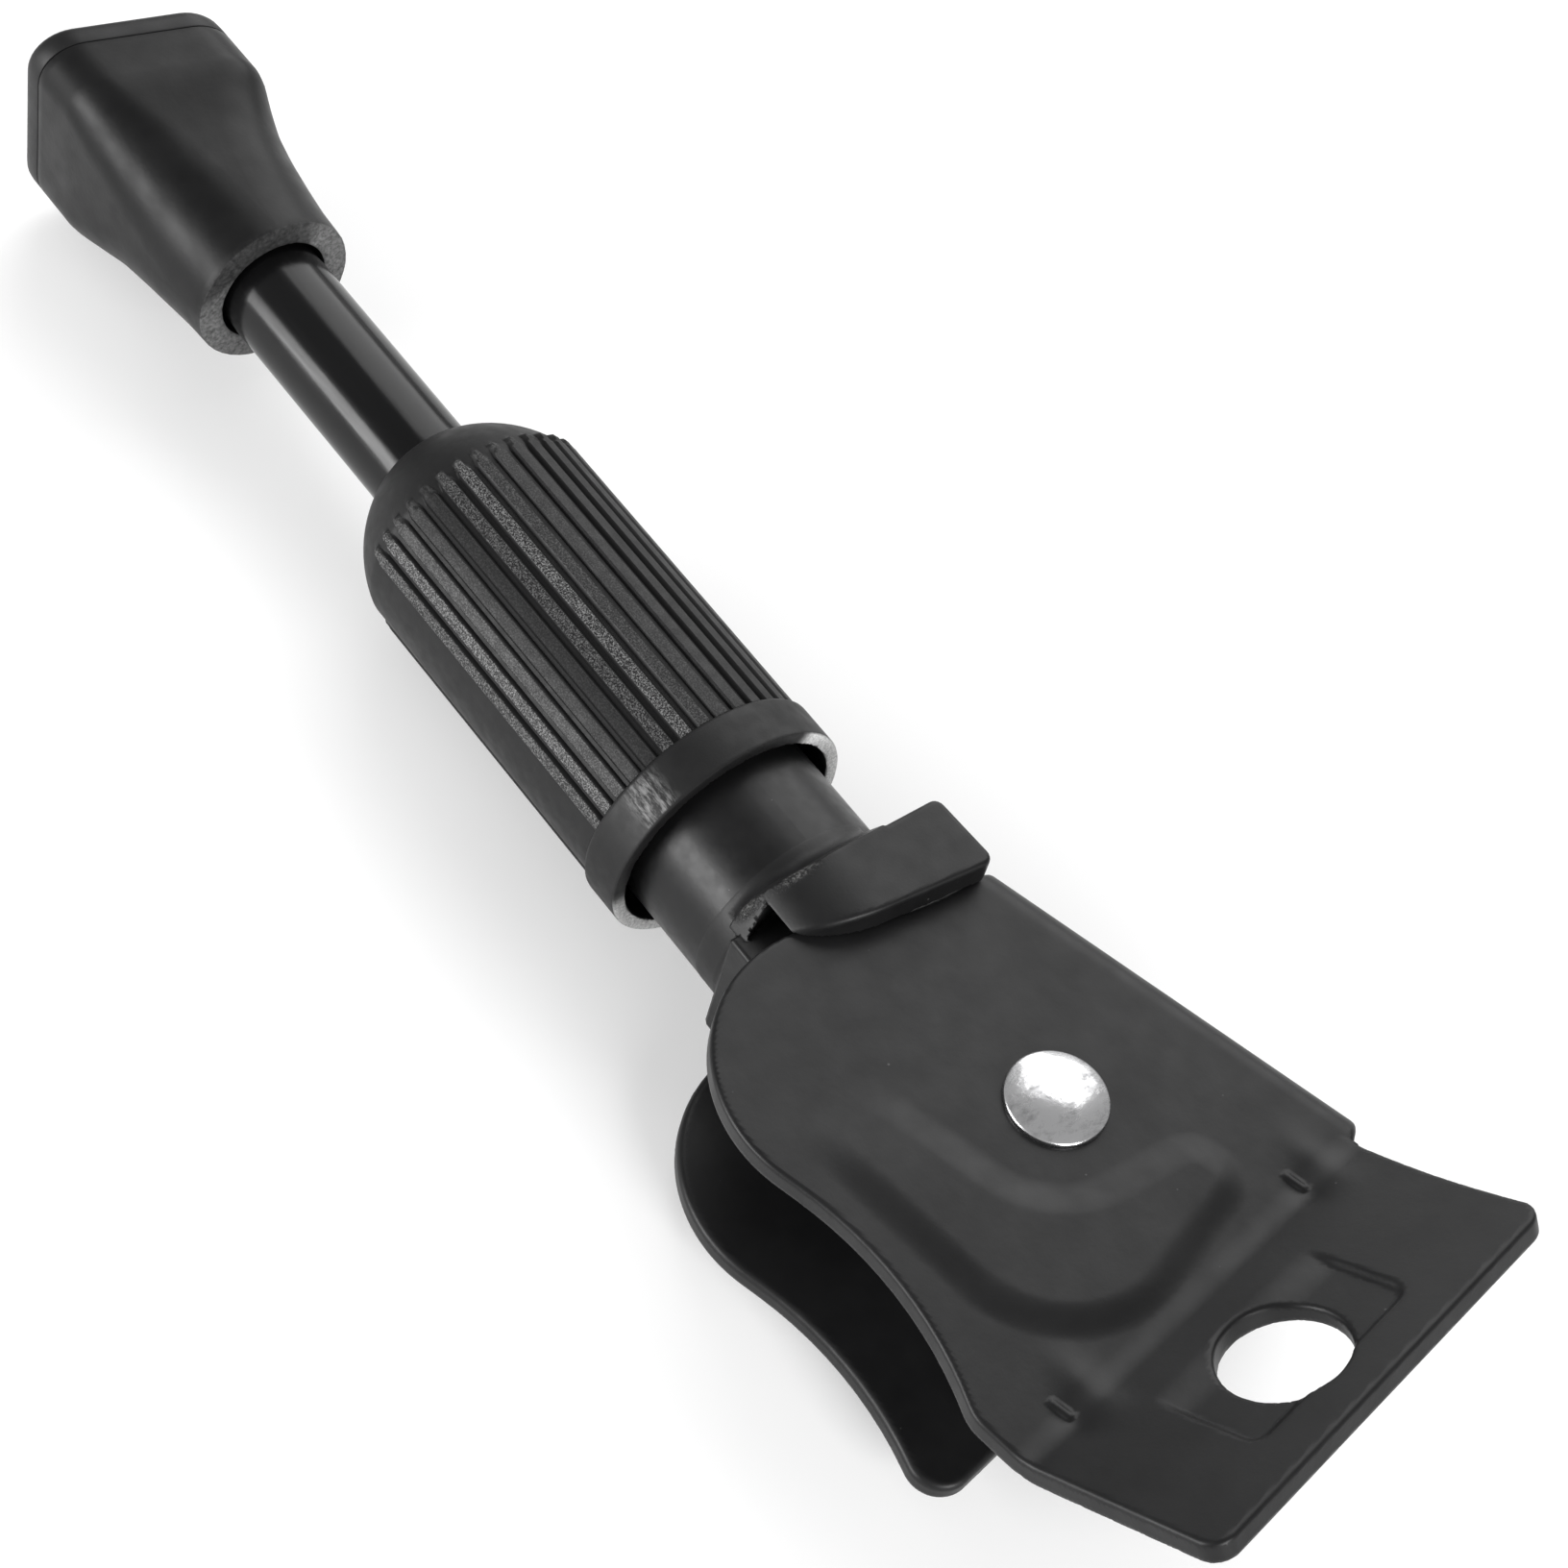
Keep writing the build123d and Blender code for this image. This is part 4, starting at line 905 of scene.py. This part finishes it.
# ---- rod: bright round bar, then a thread with a keyway that shows when the foot is wound out
ROD_INNER_END = 38.0
THREAD_STEP = 0.25
THREAD_RADIUS = 5.6
THREAD_DEPTH = 0.85
KEYWAY_ENDS = (41.3, 80.2)
KEYWAY_HALF = 1.65
KEYWAY_FLOOR = 4.3
KEYWAY_COLUMNS = (13.5, 15.0, 17.4, 18.6, 341.4, 342.6, 345.0, 346.5)
ROD_SHOULDER = 92.4
SPIGOT_FLOOR = 142.5
ROD_START = ((ROD_INNER_END, 0.02), (ROD_INNER_END, 4.4), (38.3, 4.6))
ROD_REST = (
    (92.2, THREAD_RADIUS), (ROD_SHOULDER, 5.65), (92.45, 5.95), (92.6, ROD_RADIUS), (100, ROD_RADIUS),
    (115, ROD_RADIUS), (130, ROD_RADIUS), (146.8, ROD_RADIUS), (147, 5.8), (147, 4.0), (152.3, 4.0), (152.5, 3.8),
    (152.5, 2.0), (SPIGOT_FLOOR, 2.0), (SPIGOT_FLOOR, 0.02),
)


def screw_lead():
    """Millimetres of travel for one turn of the grip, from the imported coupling."""
    return 2 * math.pi / abs(frame["record"]["behaviour"]["couplings"][0]["ratio"]) / MM


def threaded_row(x, lead, columns):
    """Radius round the rod at a place on its thread, with the keyway cut in."""
    phase = (x / lead - columns / (2 * math.pi)) % 1.0
    tooth = np.clip((np.abs(phase - 0.5) - 0.14) / 0.20, 0, 1)
    fade = min(1.0, (x - ROD_INNER_END) / 2.0, (ROD_SHOULDER - x) / 1.2)
    radius = THREAD_RADIUS - THREAD_DEPTH * tooth * fade
    across = np.abs(5.4 * np.sin(columns))
    inside = (np.cos(columns) > 0) & (across < KEYWAY_HALF) & (KEYWAY_ENDS[0] < x < KEYWAY_ENDS[1])
    return np.where(inside, np.minimum(radius, KEYWAY_FLOOR / np.maximum(np.cos(columns), 0.5)), radius)


def make_rod():
    """Rod from its inner end to the hollow spigot in the foot."""
    lead = screw_lead()
    columns = np.radians(np.unique(np.concatenate([np.arange(0, 360, 5.0), KEYWAY_COLUMNS])))
    rows = [(x, np.full(len(columns), radius)) for x, radius in ROD_START]
    rows += [(x, threaded_row(x, lead, columns)) for x in np.arange(38.6, 92.0, THREAD_STEP)]
    rows += [(x, np.full(len(columns), radius)) for x, radius in ROD_REST]
    along = np.repeat([x for x, _ in rows], len(columns))
    points = on_leg(along, np.concatenate([r for _, r in rows]), np.tile(columns, len(rows)))
    first, last = len(points), len(points) + 1
    points = np.concatenate([points, on_leg(ROD_INNER_END, 0.0, 0.0), on_leg(SPIGOT_FLOOR, 0.0, 0.0)])
    n, base = len(columns), (len(rows) - 1) * len(columns)
    faces = list(grid_faces(len(rows), n))
    faces += [(first, (j + 1) % n, j) for j in range(n)]
    faces += [(last, base + j, base + (j + 1) % n) for j in range(n)]
    piece = new_piece("rod_bar", points, faces, "rod", ["inner_rod"], MATERIALS["rod_black"])
    sharpen(piece, 35)


make_rod()


# ---- foot: boot that flares from a round collar to a leaning block, and the pad that closes it
# rows of FOOT: place along the leg, half width, half depth, corner radius, lean in degrees
FOOT = np.array([
    (128.1, 9.35, 9.35, 9.30, 0.0), (132.0, 9.45, 9.45, 9.2, 0.0), (136.0, 9.7, 9.7, 8.9, 0.3),
    (140.0, 10.0, 9.85, 8.3, 1.8), (144.0, 10.4, 10.05, 7.5, 4.6), (147.0, 11.0, 10.35, 6.6, 7.6),
    (149.5, 11.55, 10.65, 5.9, 10.4), (151.0, 11.88, 10.84, 5.4, 12.4), (152.0, 12.0, 10.9, 5.2, 13.3),
    (152.8, 12.0, 10.9, 5.2, FOOT_LEAN), (154.0, 12.0, 10.9, 5.2, FOOT_LEAN),
])
BLOCK = (12.0, 10.9, 5.2, FOOT_LEAN)
COLLAR_FACE = 128.1
BOOT_END = 158.08
CORE_RADIUS = 8.4
CORE_START = 141.0
MOUTH_RADIUS = 6.5
PAD_RINGS = (
    (158.12, 1.0), (158.12, 0.25), (158.2, 0.05), (158.35, 0.0), (159.6, 0.0), (160.3, 0.06), (160.75, 0.25),
    (161.0, 0.55), (161.1, 1.0),
)
CORNER_POINTS = 12
SIDE_SHARES = (0.1, 0.3, 0.5, 0.7, 0.9)


def square_ring(half_wide, half_deep, corner_radius):
    """Round-cornered rectangle as the same number of points whatever its sizes: (z, y) pairs."""
    points = []
    r = min(corner_radius, half_wide - 0.02, half_deep - 0.02)
    for k, (sz, sy) in enumerate(((1, 1), (-1, 1), (-1, -1), (1, -1))):
        cz, cy = sz * (half_wide - r), sy * (half_deep - r)
        for a in np.linspace(0, 90, CORNER_POINTS):
            turn = math.radians(a + 90 * k)
            points.append((cz + r * math.cos(turn), cy + r * math.sin(turn)))
    full = []
    for k, (a, b) in enumerate(zip(points, points[1:] + points[:1])):
        full.append(a)
        if k % CORNER_POINTS == CORNER_POINTS - 1:
            full += [(a[0] + (b[0] - a[0]) * f, a[1] + (b[1] - a[1]) * f) for f in SIDE_SHARES]
    return np.array(full)


def foot_ring(x, half_wide, half_deep, corner_radius, lean, inset=0.0):
    """One ring of the foot, leaned about Z and moved towards the web as it leans."""
    turn = math.radians(lean)
    ring = square_ring(half_wide - inset, half_deep / math.cos(turn) - inset, corner_radius - inset)
    shift = FOOT_SHIFT * lean / FOOT_LEAN
    z, y = ring.T
    return np.stack([RIVET_X + x - y * math.sin(turn), LEG_Y + shift - y * math.cos(turn), MID_Z + z], 1)


def round_ring(x, radius, lean):
    """Round ring with as many points as a foot ring, for bores; x is on the leg's axis."""
    outline = foot_ring(0, *BLOCK)
    angle = np.arctan2(-(outline[:, 1] - LEG_Y - FOOT_SHIFT), outline[:, 2] - MID_Z)
    y, z = -radius * np.sin(angle), radius * np.cos(angle)
    slope = math.tan(math.radians(lean))
    return np.stack([RIVET_X + x + y * slope, LEG_Y + y, MID_Z + z], 1)


def make_foot():
    """Boot from its torn collar to the seam and back along the bore, then the pad behind the seam."""
    rng = np.random.default_rng(11)
    stations = np.concatenate([np.linspace(COLLAR_FACE, 152.0, 25), np.linspace(152.4, 154.0, 5)])
    values = [np.interp(stations, FOOT[:, 0], FOOT[:, k]) for k in range(1, 5)]
    kernel = np.array([0.25, 0.5, 0.25])
    for v in values:
        v[1:-1] = np.convolve(v, kernel, "valid")
    rings, cut = [], []
    count = len(square_ring(5, 5, 2))
    jag = np.convolve(rng.normal(0, 1, count + 4), kernel, "same")[2:-2]
    collar = foot_ring(0, *FOOT[0, 1:])
    angle = np.degrees(np.arctan2(*(collar[:, [1, 2]] - (LEG_Y, MID_Z)).T))
    # the pale cut face is painted full on the lit side and faded to a third elsewhere: painted light and shade
    lit = 1 - 0.7 * (1 - smooth_step(np.abs(-angle + 25), 45, 70))

    def ring(points, is_cut=0.0):
        rings.append(points)
        cut.append(np.broadcast_to(is_cut, count))

    for inset, back_off, is_cut in ((0.30, 0.0, 1.0), (0.10, 0.02, 0.8), (0.0, 0.20, 0.15)):
        points = foot_ring(COLLAR_FACE + back_off, values[0][0], values[1][0], values[2][0], 0, inset)
        points[:, 0] += 0.05 * np.abs(jag)
        ring(points, is_cut * lit)
    for x, wide, deep, corner_radius, lean in list(zip(stations, *values))[1:]:
        ring(foot_ring(x, wide, deep, corner_radius, lean))
    block_rings = ((154.5, 0.0), (157.0, 0.0), (157.85, 0.0), (158.0, 0.05), (BOOT_END, 0.25), (BOOT_END, 1.0))
    for x, inset in block_rings:
        ring(foot_ring(x, *BLOCK, inset))
    ring(round_ring(BOOT_END, CORE_RADIUS, FOOT_LEAN))
    ring(round_ring(CORE_START, CORE_RADIUS, 0))
    ring(round_ring(CORE_START, MOUTH_RADIUS, 0))
    ring(round_ring(COLLAR_FACE + 0.5, MOUTH_RADIUS, 0))
    points = round_ring(COLLAR_FACE + 0.05, MOUTH_RADIUS + 0.05, 0)
    points[:, 0] += 0.06 * np.abs(jag[::-1])
    ring(points, 0.6 * lit)
    ring(round_ring(COLLAR_FACE, MOUTH_RADIUS + 0.3, 0), lit)
    faces = grid_faces(len(rings), count, True)[:, ::-1]
    piece = new_piece(
        "boot_shell", np.concatenate(rings), faces, "rod", ["foot_boot"],
        MATERIALS["boot_rubber"], attributes={"cut": np.concatenate(cut)},
    )
    sharpen(piece, 40)

    points = np.concatenate([foot_ring(x, *BLOCK, inset) for x, inset in PAD_RINGS])
    faces = [tuple(f[::-1]) for f in grid_faces(len(PAD_RINGS), count)] + end_caps(len(points), count)
    piece = new_piece("pad_shell", points, faces, "rod", ["sole_pad"], MATERIALS["sole_rubber"])
    sharpen(piece, 40)


make_foot()


# ---- rivet: low dome with a small rim, its shank and the formed tail
WASHER = 0.4
DOME_RADIUS = 4.9
SHANK_RADIUS = 3.0
RIVET_COLUMNS = 72


def make_rivet():
    """Rivet turned about its own axis, as (height, radius) rows from the dome's middle to the tail's."""
    top, bottom = CHEEK, -CHEEK - WASHER
    heads = [(5.02, 0.0), (5.1, 0.10), (5.1, 0.46), (5.04, 0.58), (4.90, 0.66)]
    heads += [(r, 0.66 + 1.24 * (1 - (r / DOME_RADIUS) ** 2)) for r in np.linspace(4.6, 0.3, 14)]
    profile = [(top + h, r) for r, h in heads][::-1]
    under = [(top, SHANK_RADIUS), (bottom, SHANK_RADIUS), (bottom, 4.3), (bottom - 0.1, 4.4)]
    under += [(bottom - 0.7, 4.05), (bottom - 0.8, 3.85), (bottom - 0.8, 0.3)]
    angles = np.arange(RIVET_COLUMNS) * 2 * math.pi / RIVET_COLUMNS
    rows = np.array(profile + under)
    radius, height = rows[:, 1:], rows[:, :1]
    x, y = radius * np.cos(angles), radius * np.sin(angles)
    z = np.broadcast_to(height, x.shape)
    points = np.stack([RIVET_X + x, RIVET_Y + y, MID_Z + z], -1).reshape(-1, 3)
    faces = [tuple(f[::-1]) for f in grid_faces(len(rows), RIVET_COLUMNS)] + end_caps(len(points), RIVET_COLUMNS)
    piece = new_piece("rivet_pin", points, faces, "bracket_body", ["rivet"], MATERIALS["rivet_chrome"])
    sharpen(piece, 50)


make_rivet()


# ---- camera at the photograph's place, solved from the object's own edges
CAMERA_LENS = 77.2
CAMERA_RIGHT = (-0.59877, -0.77958, 0.18364)
CAMERA_UP = (0.70453, -0.40362, 0.58372)
CAMERA_BACK = (-0.38094, 0.47890, 0.79091)
CAMERA_FROM_RIVET = (-82.60, 156.35, 268.52)
camera = bpy.data.objects.new("camera", bpy.data.cameras.new("camera"))
bpy.context.scene.collection.objects.link(camera)
camera.data.sensor_width = 36.0
camera.data.lens = CAMERA_LENS
turned = Matrix((CAMERA_RIGHT, CAMERA_UP, CAMERA_BACK)).transposed().to_4x4()
turned.translation = Vector([a + b for a, b in zip((RIVET_X, RIVET_Y, MID_Z), CAMERA_FROM_RIVET)]) * MM
camera.matrix_world = turned
camera.data.clip_start = 0.01
bpy.context.scene.camera = camera


# ---- stage and light, in metres and watts
FLOOR_HALF = 1.5
FLOOR_DROP = 0.0003
FLOOR_GLOW = 0.36
SKY = 0.36


def make_stage():
    """Matt white floor that glows a little, just below the part."""
    mesh = bpy.data.meshes.new("floor")
    corners = [(x * FLOOR_HALF, y * FLOOR_HALF, 0) for x, y in ((-1, -1), (1, -1), (1, 1), (-1, 1))]
    mesh.from_pydata(corners, [], [(0, 1, 2, 3)])
    floor = bpy.data.objects.new("floor", mesh)
    floor.location.z = -FLOOR_DROP
    bpy.context.scene.collection.objects.link(floor)
    s = Shade("floor_white", (0.86, 0.86, 0.86), 0.8, specular=0.1)
    s.colour(s.mix(s.noise(60.0, 2.0), (0.60, 0.60, 0.60), (0.62, 0.62, 0.62)))
    s.shader.inputs["Emission Color"].default_value = (1, 1, 1, 1)
    s.shader.inputs["Emission Strength"].default_value = FLOOR_GLOW
    floor.data.materials.append(s.material)


def soft_box(name, place, aim, size, power):
    """Square studio light that faces a point."""
    light = bpy.data.lights.new(name, "AREA")
    light.shape = "RECTANGLE"
    light.size, light.size_y = size
    light.energy = power
    box = bpy.data.objects.new(name, light)
    bpy.context.scene.collection.objects.link(box)
    box.location = place
    box.rotation_mode = "QUATERNION"
    box.rotation_quaternion = (Vector(aim) - Vector(place)).to_track_quat("-Z", "Y")


make_stage()
soft_box("key", (0.42, -0.66, 0.66), (-0.03, 0, 0), (1.0, 1.0), 10.0)
soft_box("side", (0.27, 0.75, 0.20), (0, 0, 0.014), (0.55, 0.32), 8.0)
soft_box("front", (-0.80, 0.10, 0.35), (0, 0, 0), (0.4, 0.3), 6.5)
world = bpy.data.worlds.new("studio")
world.use_nodes = True
world.node_tree.nodes["Background"].inputs["Color"].default_value = (1, 1, 1, 1)
world.node_tree.nodes["Background"].inputs["Strength"].default_value = SKY
bpy.context.scene.world = world
bpy.context.scene.view_settings.view_transform = "Standard"
